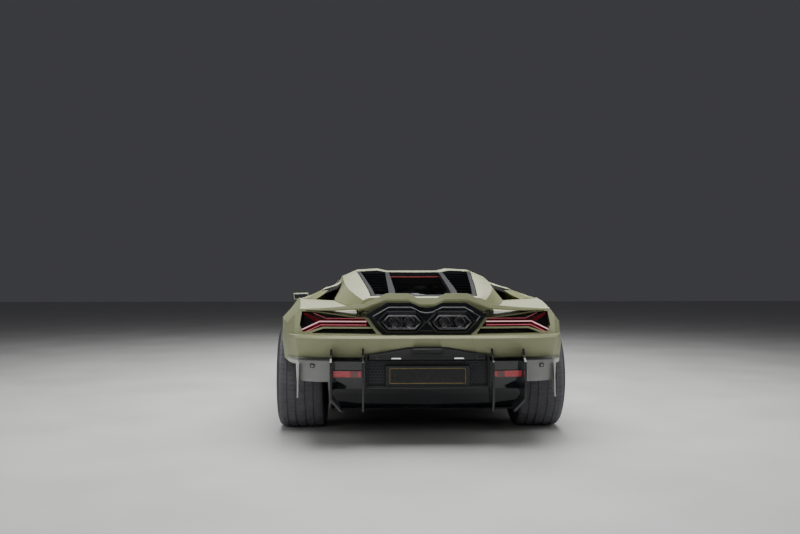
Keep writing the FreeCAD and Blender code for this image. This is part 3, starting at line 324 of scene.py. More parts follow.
# A (height, radius) section turned about one axis: (height, radius * cos a, radius * sin a)
def turned(section, count):
    section = np.asarray(section, float)
    a = np.linspace(0, 2 * math.pi, count, endpoint=False)[:, None]
    return skin(np.stack([np.broadcast_to(section[:, 0], (count, len(section))),
                          section[:, 1] * np.cos(a), section[:, 1] * np.sin(a)], -1), joinEnds=True)


# Copies of a shell, each turned by its matrix and then moved
def copies(shell, turns, moves):
    points, faces = shell
    many = np.einsum("kij,nj->kni", np.asarray(turns, float), points) + np.asarray(moves, float)[:, None]
    step = len(points)
    return many.reshape(-1, 3), [[v + k * step for v in face] for k in range(len(moves)) for face in faces]


# Copies of a shell that are only moved
def moved(shell, moves):
    return copies(shell, np.broadcast_to(np.eye(3), (len(moves), 3, 3)), moves)


# The same shell on the car's other side: x changes its sign, so each face is read backwards
def mirroredShell(shell):
    return shell[0] * np.array([-1, 1, 1]), [face[::-1] for face in shell[1]]


# A shell and its mirror image
def both(shell):
    return [shell, mirroredShell(shell)]


# Share of the way from start over span, held between 0 and 1
def ramp(values, start, span):
    return np.clip((values - start) / span, 0, 1)


# A polyline with its runs divided into equal steps; its own corners stay
def divided(points, step=0.03):
    points = np.asarray(points, float)
    run = np.concatenate([[0], np.cumsum(np.linalg.norm(np.diff(points, axis=0), axis=1))])
    at = np.unique(np.concatenate([run, np.linspace(0, run[-1], max(2, int(run[-1] / step) + 1))]))
    return np.stack([np.interp(at, run, points[:, i]) for i in range(points.shape[1])], 1)


# Rounds every edge that is sharper than angle
def addBevel(thing, widthMm, angle):
    bevel = thing.modifiers.new("edges", "BEVEL")
    bevel.width = widthMm / 1000
    bevel.segments = 2
    bevel.limit_method = "ANGLE"
    bevel.angle_limit = math.radians(angle)
    bevel.harden_normals = True


# Joins shells into one mesh piece that rides on a body
def piece(name, shells, material, body="body", bevelMm=0.0, angle=32.0):
    points, faces, start = [], [], 0
    for shellPoints, shellFaces in shells:
        points.append(shellPoints)
        faces += [[v + start for v in face] for face in shellFaces]
        start += len(shellPoints)
    mesh = bpy.data.meshes.new(name)
    mesh.from_pydata(np.concatenate(points).tolist(), [], faces)
    mesh.materials.append(material)
    mesh.shade_smooth()
    mesh.set_sharp_from_angle(angle=math.radians(angle))
    thing = bpy.data.objects.new(name, mesh)
    scene.collection.objects.link(thing)
    if bevelMm:
        addBevel(thing, bevelMm, angle)
    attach(thing, body)
    return thing


# The CAD nodes, each as a merged copy with soft edges and its real finish: the record's slot, and the
# nodes' names without their side
finishes = {
    oliveSatinPaint: ("paint", "nose roof rear_bumper front_lid wing front_fender rear_quarter door mirror"),
    greySatinPaint: ("grey_panel", "rear_valance"),
    blackLacquer: ("gloss_black", "tail_fascia lamp_housings diffuser skirts"),
    satinBlack: ("gloss_black", "engine_lid"),
    grainedAbs: ("black_structure", "tub suspension_arms front_grilles side_grilles rear_grille knuckle"),
    tintedGlass: ("tinted_glass", "cabin_glass door_glass"),
    blackForged: ("dark_alloy", "rim"),
    groundIron: ("brake_disc", "disc"),
    drawnSteel: ("exhaust_metal", "exhaust tailpipes"),
    redLens: ("lamp_red", "tail_lamps"),
    silveredBowl: ("lamp_clear", "headlamps"),
    castAlloy: ("engine_metal", "engine"),
    microSuede: ("cabin_trim", "dashboard"),
}
# The olive paint's hidden faces take the felt: a real liner in the wheel wells, painted shade on the rest
hiddenFinish = {oliveSatinPaint: feltLinerAndPaintedShade, greySatinPaint: paleSatin}
sides = ("", "_left", "_right", "_front_left", "_front_right", "_rear_left", "_rear_right")
# Bevel width, the angle in degrees under which an edge is smoothed over, and the wheel arches: axle, height
# of the wheel's centre and the radius that the liner reaches
dressValues = {"bevelMm": 2.0, "smoothBelow": 27.0,
               "arches": ((rearAxle, 0.370, 0.412), (frontAxle, 0.347, 0.396))}
# The side intake's throat lies between these distances from the middle, places along the car and heights;
# further out only its walls belong to it, which don't look outwards
throatValues = {"x": (0.66, 0.880), "y": (-1.05, -0.535), "z": (0.33, 0.75)}


# Which faces of a panel are its hidden side: the wheel wells, the intake's throat, the cabin side and the
# underside, told by each face's centre and normal. On the olive paint the felt is a real liner in the wheel
# wells and painted shade on the other faces found here.
def hiddenSide(name, centre, normal):
    x, y, z = np.abs(centre[:, 0]), centre[:, 1], centre[:, 2]
    outwards = normal[:, 0] * np.sign(centre[:, 0])    # 1 where a face looks straight out of its side
    inwards = outwards < -0.25
    well = np.zeros(len(centre), bool)
    for axle, wheelZ, reach in dressValues["arches"]:
        well |= np.hypot(y - axle, z - wheelZ) < reach
    if name.startswith("rear_quarter"):
        (innerX, outerX), (backY, frontY), (lowZ, highZ) = (throatValues[key] for key in "xyz")
        throat = (x < outerX) | (outwards < 0.55)
        well |= throat & (x > innerX) & (y > backY) & (y < frontY) & (z > lowZ) & (z < highZ)
    if name.startswith(("rear_quarter", "front_fender", "nose")):
        cabinSide = inwards & (x < 0.70)
        underside = (normal[:, 2] < -0.9) & (z < 0.3)
        return well | cabinSide | underside
    if name.startswith("door"):
        return inwards
    if name == "rear_valance":
        return x > 0.808    # the pale blade beside each panel
    if name in ("roof", "front_lid"):
        bayFront = (normal[:, 1] < -0.5) & (y < -0.4) & (z < 1.10)
        return (normal[:, 2] < -0.3) | bayFront
    if name == "rear_bumper":
        return (y > tailY + 0.36) & (normal[:, 1] > 0.5)    # its front, inside the bay
    return np.zeros(len(centre), bool)


# How far the shell is drawn in at four places along the tail, below the waist, at it and at the crest, and
# the half width that moves by the whole reach. start is the half width that stays, by height. roof is what
# the roof's edge moves in.
flankValues = {
    "y": [-2.5335, -2.2585, -1.9005, -1.4585],
    "low": [0.060, 0.066, 0.044, 0.0],
    "waist": [0.077, 0.085, 0.050, 0.002],
    "crest": [0.040, 0.024, 0.024, 0.014],
    "edge": [0.890, 0.960, 1.000, 1.005],
    "startZ": [0.60, 0.72, 0.87, 0.95],
    "start": [0.70, 0.828, 0.828, 0.78],
    "roofY": [-1.80, -1.30, -0.80, 0.20, 0.60],
    "roof": [0, 0.011, 0.018, 0.012, 0.0],
}


# Behind the rear axle |x| falls by reach(y, z) * ((|x| - start) / (edge - start)) ** 1.3. The reach turns
# from low to waist between 0.42 and 0.62 m of height, and to crest between 0.78 and 0.90 m. Above 0.92 m
# the roof's edge falls by its own reach beyond |x| = 0.47.
def drawnIn(points):
    v = flankValues
    x, y, z = points.T
    side = np.abs(x)
    low, waist, crest, edge = (np.interp(y, v["y"], v[key]) for key in ("low", "waist", "crest", "edge"))
    reach = np.where(z < 0.62, low + (waist - low) * ramp(z, 0.42, 0.20),
                     waist + (crest - waist) * ramp(z, 0.78, 0.12))
    start = np.interp(z, v["startZ"], v["start"])
    edge = edge - 0.10 * ramp(z, 0.80, 0.1)
    share = np.clip((side - start) / np.maximum(edge - start, 0.04), 0, 1.15) ** 1.3
    roofEdge = np.interp(y, v["roofY"], v["roof"]) * (ramp(side, 0.47, 0.13) * ramp(z, 0.92, 0.10))
    side = side - np.where(y < rearAxle, reach * share, 0) - np.where(z > 0.92, roofEdge, 0)
    return np.stack([np.sign(x) * side, y, z], 1)


# The cabin wall's foot and top as half widths and heights at wallY, and the blade's foot and top heights and
# how far it leans out at bladeY. lift is how far its rear part rises.
bladeValues = {
    "wallY": rearAxle + np.array([-0.342, 0.158, 0.658, 1.108]),
    "lowX": [0.540, 0.628, 0.672, 0.790], "lowZ": [0.900, 0.925, 0.890, 0.822],
    "topX": [0.488, 0.556, 0.592, 0.608], "topZ": [0.984, 1.036, 1.078, 1.097],
    "bladeY": rearAxle + np.array([0.030, 0.258, 0.658, 1.150]),
    "footZ": [0.928, 0.900, 0.866, 0.830], "edgeZ": [0.938, 0.974, 1.068, 1.090],
    "out": [0.008, 0.066, 0.052, -0.014], "lift": 0.014,
}


# The blade from the roof corner to the rear crest leans out: a point moves by out times its share of the way
# from the blade's foot to its top edge; the foot and the cabin wall that it leaves stay where they are
def leanedBlade(points):
    v = bladeValues
    x, y, z = points.T
    lowX, lowZ, topX, topZ = (np.interp(y, v["wallY"], v[key]) for key in ("lowX", "lowZ", "topX", "topZ"))
    wallX = lowX + (z - lowZ) / (topZ - lowZ) * (topX - lowX)
    foot, top, out = (np.interp(y, v["bladeY"], v[key]) for key in ("footZ", "edgeZ", "out"))
    share = ramp(z, foot, np.maximum(top - foot, 0.008)) * ((y > v["bladeY"][0]) & (np.abs(x) < 0.90))
    share *= ramp(np.abs(x) - wallX, 0.010, 0.035)
    return points + np.stack([np.sign(x) * out * share, 0 * y, v["lift"] * share * (y < v["bladeY"][2])], 1)


# The wing's ends come in and down: new half widths and drops at given half widths
wingValues = {
    "from": [0, 0.600, 0.728, 0.835, 0.90], "to": [0, 0.600, 0.700, 0.787, 0.85],
    "dropAt": [0.262, 0.410, 0.600, 0.728, 0.835], "drop": [0, 0.002, 0.015, 0.020, 0.021],
}


def wingEnds(points):
    x, y, z = points.T
    side = np.interp(np.abs(x), wingValues["from"], wingValues["to"])
    down = np.interp(np.abs(x), wingValues["dropAt"], wingValues["drop"])
    return np.stack([np.sign(x) * side, y, z - down], 1)


# The mirrors sit nearer to the doors: |x| falls by 48 mm beyond the foot of the stalk
def mirrorIn(points):
    x, y, z = points.T
    return np.stack([x - np.sign(x) * 0.048 * ramp(np.abs(x), 0.86, 0.12), y, z], 1)


reshaped = {"rear_quarter": leanedBlade, "wing": wingEnds, "mirror": mirrorIn}


# A copy of a CAD node: its points reshaped and merged, flat edges smoothed over, sharp ones bevelled, and
# its hidden side in the hidden finish
def dress(name, material):
    source = nodes[name]
    mesh = source.data.copy()
    mesh.name = name + ".finish"
    points = np.zeros(len(mesh.vertices) * 3)
    mesh.vertices.foreach_get("co", points)
    points = points.reshape(-1, 3)
    if source["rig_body"] in ("body", "engine_lid_body"):
        points = drawnIn(points)
    for stem, change in reshaped.items():
        if name.startswith(stem):
            points = change(points)
    mesh.vertices.foreach_set("co", points.ravel())
    bm = bmesh.new()
    bm.from_mesh(mesh)
    bmesh.ops.remove_doubles(bm, verts=bm.verts, dist=2e-5)
    bmesh.ops.dissolve_degenerate(bm, edges=bm.edges, dist=1e-5)
    limit = math.radians(dressValues["smoothBelow"])
    for face in bm.faces:
        face.smooth = True
    for edge in bm.edges:
        edge.smooth = edge.is_manifold and edge.calc_face_angle(0.0) < limit
    bm.to_mesh(mesh)
    bm.free()
    mesh.materials.clear()
    mesh.materials.append(material)
    mesh.materials.append(hiddenFinish.get(material, material))
    count = len(mesh.polygons)
    centre, normal = np.zeros(count * 3), np.zeros(count * 3)
    mesh.polygons.foreach_get("center", centre)
    mesh.polygons.foreach_get("normal", normal)
    hidden = hiddenSide(name, centre.reshape(-1, 3), normal.reshape(-1, 3))
    mesh.polygons.foreach_set("material_index", hidden.astype(np.int32))
    thing = bpy.data.objects.new(name + ".finish", mesh)
    scene.collection.objects.link(thing)
    addBevel(thing, dressValues["bevelMm"], dressValues["smoothBelow"])
    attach(thing, source["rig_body"])
    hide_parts(name)
    return thing


dressed = {}
for material, (slot, stems) in finishes.items():
    for name in [stem + side for stem in stems.split() for side in sides]:
        if name in nodes:
            dressed[name] = dress(name, material)
print("nodes dressed:", len(dressed))

# The tail as a surface: how far forward of tailY it lies at each height, and how it sweeps forward with |x|
tailProfile = np.array([(0.330, 0.230), (0.200, 0.330), (0.100, 0.378), (0.064, 0.430), (0.046, 0.556),
                        (0.150, 0.560), (0.150, 0.574), (0.112, 0.578), (0.066, 0.700), (0.078, 0.716),
                        (0.160, 0.718), (0.225, 0.895), (0.228, 0.980)])
tailSweep = np.array([(0.0, 0.003), (0.450, 0.012), (0.700, 0.038), (0.880, 0.120), (1.040, 0.330)])


# Points on the tail at (x, z), moved forward by ahead: y is tailY plus the sweep at |x|, the profile at z
# and ahead
def onTail(outline, ahead):
    outline = np.asarray(outline, float)
    x, z = outline[:, 0], outline[:, 1]
    y = (tailY + np.interp(np.abs(x), tailSweep[:, 0], tailSweep[:, 1])
         + np.interp(z, tailProfile[:, 1], tailProfile[:, 0]) + ahead)
    return np.stack([x, y, z], 1)


# Tail lamps: light guides along the bars and down the lower fork. Each run is its (x, z) points, half its
# thickness and its finish.
guideRuns = {
    "Bright": ([(0.390, 0.8015), (0.694, 0.8015), (0.810, 0.7460)], 0.0040, glowBright),
    "Pink": ([(0.390, 0.7795), (0.684, 0.7795), (0.796, 0.7285)], 0.0024, glowGuide),
    "Lip": ([(0.390, 0.7640), (0.676, 0.7640), (0.768, 0.7250)], 0.0022, glowBright),
    "Upper": ([(0.390, 0.8215), (0.650, 0.8215), (0.735, 0.8560)], 0.0013, glowGuide),
}
# A red band up the upper fork and a dark red backing behind the guides. Depths are forward of the tail.
lampValues = {
    "guideAhead": 0.014,
    "fork": [(0.700, 0.8090), (0.792, 0.8500)], "forkAhead": 0.018, "forkSize": (0.006, 0.020, 0.002, 2),
    "backing": [(0.384, 0.766), (0.700, 0.766), (0.786, 0.733), (0.800, 0.746), (0.716, 0.792),
                (0.806, 0.846), (0.797, 0.858), (0.690, 0.816), (0.384, 0.816)],
    "backingAhead": (0.046, 0.026),
}
for label, (points, half, material) in guideRuns.items():
    path = onTail(divided(points), lampValues["guideAhead"])
    piece("lampGuide" + label, both(carried(path, circle(half, 8))), material)
forkPath = onTail(divided(lampValues["fork"]), lampValues["forkAhead"])
piece("lampFork", both(carried(forkPath, rounded(*lampValues["forkSize"]))), redLens)
backing = skin(np.array([onTail(lampValues["backing"], ahead) for ahead in lampValues["backingAhead"]]))
piece("lampBacking", both(backing), redLens)

# Low reflectors: a lens just proud of the solid one, with a chamfered face
reflectorValues = {"outline": [(0.4195, 0.4565), (0.6005, 0.4565), (0.6005, 0.4955), (0.4195, 0.4955)],
                   "back": -0.0075, "front": -0.0095, "chamfer": 0.0015}
reflector = reflectorValues["outline"]
lens = skin(np.array([onTail(reflector, reflectorValues["back"]),
                      onTail(shrunk(reflector, reflectorValues["chamfer"]), reflectorValues["front"])]))
piece("reflectorLens", both(lens), prismLens)
print("tail lamps done")

# Directions of a shape that faces backwards: u to the right, v up, height towards the tail
rearAxes = ((1, 0, 0), (0, 0, 1), (0, -1, 0))

# Mesh behind the plate: six-sided cells of thin wall inside the grille's outline, kept off the plate's
# carrier (half width, middle height, half height)
meshValues = {"pitch": 0.0215, "wall": 0.0026, "depth": 0.007, "edge": 0.026, "sunk": 0.002,
              "keepOff": (0.272, 0.464, 0.068)}
grilleHalf = np.array([(0.0, 0.644), (0.125, 0.644), (0.255, 0.618), (0.398, 0.596), (0.398, 0.384)])
grilleOutline = np.concatenate([grilleHalf, grilleHalf[:0:-1] * (-1, 1)])
carrierY = tailY + 0.074
grilleFace = tailY + 0.128


# Which points lie inside an outline: a line to the right of such a point crosses it an odd number of times
def insideOutline(points, outline):
    inside = np.zeros(len(points), bool)
    for (x0, z0), (x1, z1) in zip(outline, np.roll(outline, -1, 0)):
        crosses = (z0 > points[:, 1]) != (z1 > points[:, 1])
        at = x0 + (points[:, 1] - z0) / (z1 - z0 if z1 != z0 else 1e-9) * (x1 - x0)
        inside ^= crosses & (points[:, 0] < at)
    return inside


# Cell middles on a triangular grid inside an outline: rows are pitch * sqrt(3) / 2 apart and every other
# one is shifted by half a pitch
def cellMiddles(outline, pitch, keepOff=None):
    low, high = outline.min(0), outline.max(0)
    cells = []
    for i, z in enumerate(np.arange(low[1], high[1], pitch * math.sqrt(3) / 2)):
        x = np.arange(low[0] + (i % 2) * pitch / 2, high[0], pitch)
        cells.append(np.stack([x, np.full(len(x), z)], 1))
    cells = np.concatenate(cells)
    keep = insideOutline(cells, outline)
    if keepOff is not None:
        halfWidth, middleZ, halfHeight = keepOff
        keep &= ~((np.abs(cells[:, 0]) < halfWidth) & (np.abs(cells[:, 1] - middleZ) < halfHeight))
    return cells[keep]


# Six-sided cells on a plane: one ring of four rows at radius pitch / sqrt(3), less the wall inside, copied
# to every middle
def honeycomb(middles, values, axes, origin):
    u, v, h = (np.asarray(a, float) for a in axes)
    a = np.radians(np.arange(6) * 60 + 30)
    outer = values["pitch"] / math.sqrt(3)
    rows = []
    for radius, height in ((outer, 0), (outer, 1), (outer - values["wall"], 1), (outer - values["wall"], 0)):
        rows.append(radius * np.cos(a)[:, None] * u + radius * np.sin(a)[:, None] * v
                    + height * values["depth"] * h)
    cell = skin(np.array(rows), joinEnds=True)
    return moved(cell, middles[:, :1] * u + middles[:, 1:] * v + np.asarray(origin, float))


middles = cellMiddles(shrunk(grilleOutline, meshValues["edge"]), meshValues["pitch"], meshValues["keepOff"])
rearMesh = honeycomb(middles, meshValues, rearAxes, (0, grilleFace - meshValues["sunk"], 0))
piece("rearMesh", [rearMesh], meshBlack)

# Visor over the mesh that carries the plate lamps, a plain pad at its middle, and two parking sensors.
# Layers are (inset, height) from the grille's face.
visorValues = {
    "visor": [(0.378, 0.560), (0.378, 0.598), (0.250, 0.614), (0.122, 0.636), (-0.122, 0.636),
              (-0.250, 0.614), (-0.378, 0.598), (-0.378, 0.560)],
    "visorLayers": [(0, 0), (0, 0.030), (0.005, 0.040), (0.012, 0.043)],
    "pad": [(-0.085, 0.606), (0.085, 0.606), (0.105, 0.622), (0.092, 0.636), (-0.092, 0.636),
            (-0.105, 0.622)],
    "padLayers": [(0, 0.030), (0, 0.054), (0.004, 0.058)],
    "lamp": [(0.168, 0.5700), (0.232, 0.5700), (0.228, 0.5765), (0.172, 0.5765)],
    "lampLayers": [(0, 0.030), (0, 0.0465), (0.001, 0.048)],
    "sensorRadius": 0.009, "sensorLayers": [(0, 0), (0, 0.006), (0.0025, 0.007)],
    "sensorSpots": [(x, grilleFace - 0.040, 0.578) for x in (-0.318, 0.318)],
}
onGrille = (0, grilleFace, 0)
visor = [layered(visorValues[key], visorValues[key + "Layers"], rearAxes, onGrille)
         for key in ("visor", "pad")]
piece("plateVisor", visor, grainedAbs, bevelMm=1.0)
plateLamp = layered(visorValues["lamp"], visorValues["lampLayers"], rearAxes, onGrille)
piece("plateLamps", both(plateLamp), whiteGuide)
sensor = layered(circle(visorValues["sensorRadius"], 20), visorValues["sensorLayers"], rearAxes)
piece("parkSensors", [moved(sensor, visorValues["sensorSpots"])], blackLacquer)

# The blank number plate: pressed, with a raised brass border whose section is (inset, height) pairs
plateValues = {"width": 0.492, "height": 0.104, "corner": 0.008, "z": 0.464, "thick": 0.0022, "edge": 0.0006,
               "border": [(0.004, 0.0020), (0.004, 0.0042), (0.0075, 0.0042), (0.0075, 0.0020)]}
plateAt = (0, carrierY, plateValues["z"])
plateShape = rounded(plateValues["width"], plateValues["height"], plateValues["corner"])
plateLayers = [(0, 0), (0, plateValues["thick"]),
               (plateValues["edge"], plateValues["thick"] + plateValues["edge"])]
piece("blankPlate", [layered(plateShape, plateLayers, rearAxes, plateAt)], plateEnamel)
piece("plateBorder", [framed(plateShape, plateValues["border"], rearAxes, plateAt)], plateBrass)
print("plate and mesh done")

# The two outlets: a wide bevelled frame on the surround, a thin steel lip on each shell, rolled lips on the
# four pipes, and a rib of the surround that runs over and under both. Sections are (inset, height) pairs,
# the pipes' is (radius, height).
fasciaY = tailY + 0.172
outletValues = {
    "outline": [(0.0305, 0.801), (0.0751, 0.8475), (0.2489, 0.8475), (0.2935, 0.801), (0.2489, 0.7545),
                (0.0751, 0.7545)],
    "frameOut": 0.007,
    "frame": [(0.0, -0.004), (0.0, 0.020), (-0.007, 0.026), (-0.014, 0.022), (-0.017, 0.004),
              (-0.017, -0.004)],
    "lip": [(0.0005, 0.034), (0.0005, 0.038), (0.005, 0.039), (0.0105, 0.037), (0.0105, 0.034)],
    "pipes": [(x, 0.801) for x in (-0.210, -0.114, 0.114, 0.210)],
    "pipeLip": [(0.0310, 0.014), (0.0345, 0.016), (0.0365, 0.0135), (0.0345, 0.008), (0.0310, 0.008)],
    "ribPath": [(0.000, 0.862), (0.040, 0.868), (0.098, 0.898), (0.246, 0.898), (0.352, 0.838),
                (0.300, 0.768), (0.270, 0.736), (0.000, 0.736)],
    "rib": [(0.0, -0.003), (0.0, 0.008), (0.003, 0.010), (0.008, 0.008), (0.010, -0.003)],
}
onFascia = (0, fasciaY, 0)
outletFrame = framed(shrunk(outletValues["outline"], -outletValues["frameOut"]), outletValues["frame"],
                     rearAxes, onFascia)
piece("outletFrames", both(outletFrame), blackLacquer)
outletLip = framed(outletValues["outline"], outletValues["lip"], rearAxes, onFascia)
piece("outletLips", both(outletLip), drawnSteel)
angles = np.linspace(0, 2 * math.pi, 40, endpoint=False)
rings = []
for x, z in outletValues["pipes"]:
    rows = [np.stack([x + r * np.cos(angles), np.full(40, fasciaY - h), z + r * np.sin(angles)], 1)
            for r, h in outletValues["pipeLip"]]
    rings.append(skin(np.array(rows), joinEnds=True))
piece("pipeLips", rings, drawnSteel)
ribPath = np.array(outletValues["ribPath"])
ribPath = np.concatenate([ribPath, ribPath[-2:0:-1] * (-1, 1)])
piece("surroundRib", [framed(ribPath, outletValues["rib"], rearAxes, onFascia)], blackLacquer)
print("outlets done")

# Bright prongs at the foot of the wing posts
prongValues = {"size": (0.0055, 0.026, 0.0020, 2), "layers": [(0, 0), (0, 0.010), (0.001, 0.011)],
               "x": (0.419, 0.441), "y": rearAxle - 0.690 - 0.021, "z": 0.846}
prong = layered(rounded(*prongValues["size"]), prongValues["layers"], rearAxes)
prongSpots = [(s * x, prongValues["y"], prongValues["z"]) for s in (-1, 1) for x in prongValues["x"]]
piece("wingProngs", [moved(prong, prongSpots)], turnedSteel)

# Square covers on the lower panels, each with a steel cap: inset, height over the panel and finish
coverValues = {"outline": [(0.718, 0.516), (0.746, 0.516), (0.746, 0.540), (0.718, 0.540)],
               "coverPlates": (0.0, 0.003, grainedAbs), "coverCaps": (0.006, 0.0055, turnedSteel)}
for label in ("coverPlates", "coverCaps"):
    inset, lift, material = coverValues[label]
    rows = [onTail(shrunk(coverValues["outline"], inset + more), ahead)
            for more, ahead in ((0, 0.004), (0, -lift), (0.002, -lift - 0.001))]
    piece(label, both(skin(np.array(rows))), material)

# Engine deck: heights of its top along the car
deckRows = np.array([(rearAxle - 0.600, 0.949), (rearAxle - 0.342, 1.002), (rearAxle + 0.158, 1.062),
                     (rearAxle + 0.658, 1.115), (rearAxle + 1.108, 1.142)])

# Walls under the lid's rails: their section's half widths at top and foot, drop under the deck, depth
# and lowest foot
wallValues = {"count": 14, "topX": (0.222, 0.228), "footX": (0.236, 0.230), "drop": 0.020, "deep": 0.13,
              "floor": 0.905}
wallY = np.linspace(lidFront - 0.036, lidRear + 0.060, wallValues["count"])
wallTop = np.interp(wallY, deckRows[:, 0], deckRows[:, 1]) - wallValues["drop"]
wallFoot = np.maximum(wallTop - wallValues["deep"], wallValues["floor"])
wallColumns = [np.stack([np.full(len(wallY), x), wallY, z], 1)
               for places, z in ((wallValues["topX"], wallTop), (wallValues["footX"], wallFoot))
               for x in places]
wallRows = np.stack(wallColumns, 1)
piece("deckWalls", both(skin(wallRows)), blackLacquer, "engine_lid_body")

# A red strip along the opening's front edge
stripValues = {"x": [-0.440, -0.300, -0.236, -0.205, 0.0, 0.205, 0.236, 0.300, 0.440],
               "z": [1.097, 1.112, 1.106, 1.088, 1.087, 1.088, 1.106, 1.112, 1.097],
               "behind": 0.036, "size": (0.006, 0.010, 0.002, 2)}
stripPath = np.stack([stripValues["x"], np.full(9, lidFront - stripValues["behind"]), stripValues["z"]], 1)
piece("deckStrip", [carried(divided(stripPath, 0.02), rounded(*stripValues["size"]))], redTrim,
      "engine_lid_body")

# Engine cover: over u from -1 to 1 across and y along, its height is a crown of 1 - u squared, a flat spine
# in the middle and ribs where a sine along y is above 0.2
coverShape = {"half": 0.185, "lift": 0.006, "crown": 0.030, "spine": 0.008, "spineHalf": 0.18,
              "rib": 0.004, "ribPitch": 0.055, "ribFrom": 0.30, "foot": 0.004}
coverY = np.linspace(rearAxle + 0.10, lidFront - 0.12, 40)[:, None]
coverU = np.linspace(-1, 1, 41)[None, :]
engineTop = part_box("engine")[1].z
wave = np.sin(coverY * 2 * math.pi / coverShape["ribPitch"])
ribs = (wave > 0.2) * (np.abs(coverU) > coverShape["ribFrom"])
coverZ = (engineTop + coverShape["lift"] + coverShape["crown"] * (1 - coverU ** 2)
          + coverShape["spine"] * (np.abs(coverU) < coverShape["spineHalf"]) + coverShape["rib"] * ribs)
coverTop = np.stack([np.broadcast_to(coverU * coverShape["half"], coverZ.shape),
                     np.broadcast_to(coverY, coverZ.shape), coverZ], -1)
coverUnder = coverTop[:, ::-1] * (1, 1, 0) + (0, 0, engineTop - coverShape["foot"])
piece("engineCover", [skin(np.concatenate([coverTop, coverUnder], axis=1))], castAlloy)
print("engine deck done")

# Tyres: a section with rounded shoulders and four wide grooves, cut across by slanted sipes. crown is where
# the tread's section has its points, as shares of half the width, and cut says which of them are grooved.
tyreValues = {
    "front": {"axle": frontAxle, "x": 0.860, "radius": 0.347, "width": 0.265, "rim": 0.254, "blocks": 64},
    "rear": {"axle": rearAxle, "x": 0.846, "radius": 0.370, "width": 0.340, "rim": 0.267, "blocks": 68},
}
treadValues = {
    "crown": [-0.80, -0.74, -0.575, -0.565, -0.505, -0.495, -0.36, -0.235, -0.225, -0.165, -0.155, 0.0],
    "cut": [0, 0, 0, 1, 1, 0, 0, 0, 1, 1, 0, 0],
    "groove": 0.0065, "sipe": 0.0040, "shoulder": 0.009, "slant": 0.55, "sipeShare": 0.13, "plainHalf": 0.10,
    "stepsPerBlock": 8, "wallFrom": 0.43,
}


# Radius of the tyre over its width s (-1 to 1) and its turn: the tread radius less shoulder * |s| ** 3.2,
# less the grooves' depth, less the sipes' depth where the phase of turn + slant * |s| starts a block
def treadShell(v):
    t = treadValues
    crown = np.array(t["crown"])
    crown = np.concatenate([crown, -crown[-2::-1]])
    cut = np.array(t["cut"])
    cut = np.concatenate([cut, cut[-2::-1]])
    steps = v["blocks"] * t["stepsPerBlock"]
    turn = np.arange(steps) / steps * 2 * math.pi
    phase = (turn[:, None] * v["blocks"] / (2 * math.pi) + t["slant"] * np.abs(crown)[None, :]) % 1.0
    sipes = (phase < t["sipeShare"]) & (cut[None, :] == 0) & (np.abs(crown)[None, :] > t["plainHalf"])
    crownRadius = v["radius"] - t["shoulder"] * np.abs(crown) ** 3.2 - t["groove"] * cut
    tread = crownRadius[None, :] - t["sipe"] * sipes
    # Sidewall from the bead out to the shoulder: place over the width and radius
    wall = np.array([(-0.80, v["rim"] - 0.001), (-0.93, v["rim"] + 0.010), (-0.955, v["rim"] + 0.016),
                     (-0.985, v["rim"] + 0.030), (-1.0, (v["radius"] + v["rim"]) / 2 + 0.004),
                     (-0.99, v["radius"] - 0.045), (-0.955, v["radius"] - 0.026),
                     (-0.88, v["radius"] - 0.011)])
    section = np.concatenate([wall[:, 0], crown, -wall[::-1, 0]])
    radii = np.concatenate([np.broadcast_to(wall[:, 1], (steps, len(wall))), tread,
                            np.broadcast_to(wall[::-1, 1], (steps, len(wall)))], axis=1)
    return skin(np.stack([np.broadcast_to(section * v["width"] / 2, radii.shape),
                          radii * np.cos(turn)[:, None], radii * np.sin(turn)[:, None]], -1), joinEnds=True)


# Raised ring, lock nut and bolts of each wheel. ring is (height over the face, radius over the rim's),
# nut and bolt layers are (inset, height over the face).
trimValues = {
    "ring": [(0.006, -0.019), (0.0145, -0.011), (0.0145, -0.001), (0.008, -0.001)],
    "nutRadius": 0.034,
    "nut": [(0.0, -0.006), (0.0, 0.012), (0.004, 0.017), (0.012, 0.018), (0.014, 0.008)],
    "boltRadius": 0.0085, "boltCircle": 0.056, "bolts": 5,
    "bolt": [(0.0, -0.008), (0.0, 0.001), (0.002, 0.003), (0.004, 0.003), (0.0045, -0.002)],
}


# A boss that stands along x on a wheel's face: layers of a circle whose middle lies at offset
def boss(radius, count, layers, face, offset=0.0):
    rows = []
    for inset, out in layers:
        p = circle(radius - inset, count)
        rows.append(np.stack([np.full(count, face + out), p[:, 0] + offset, p[:, 1]], 1))
    return skin(np.array(rows))


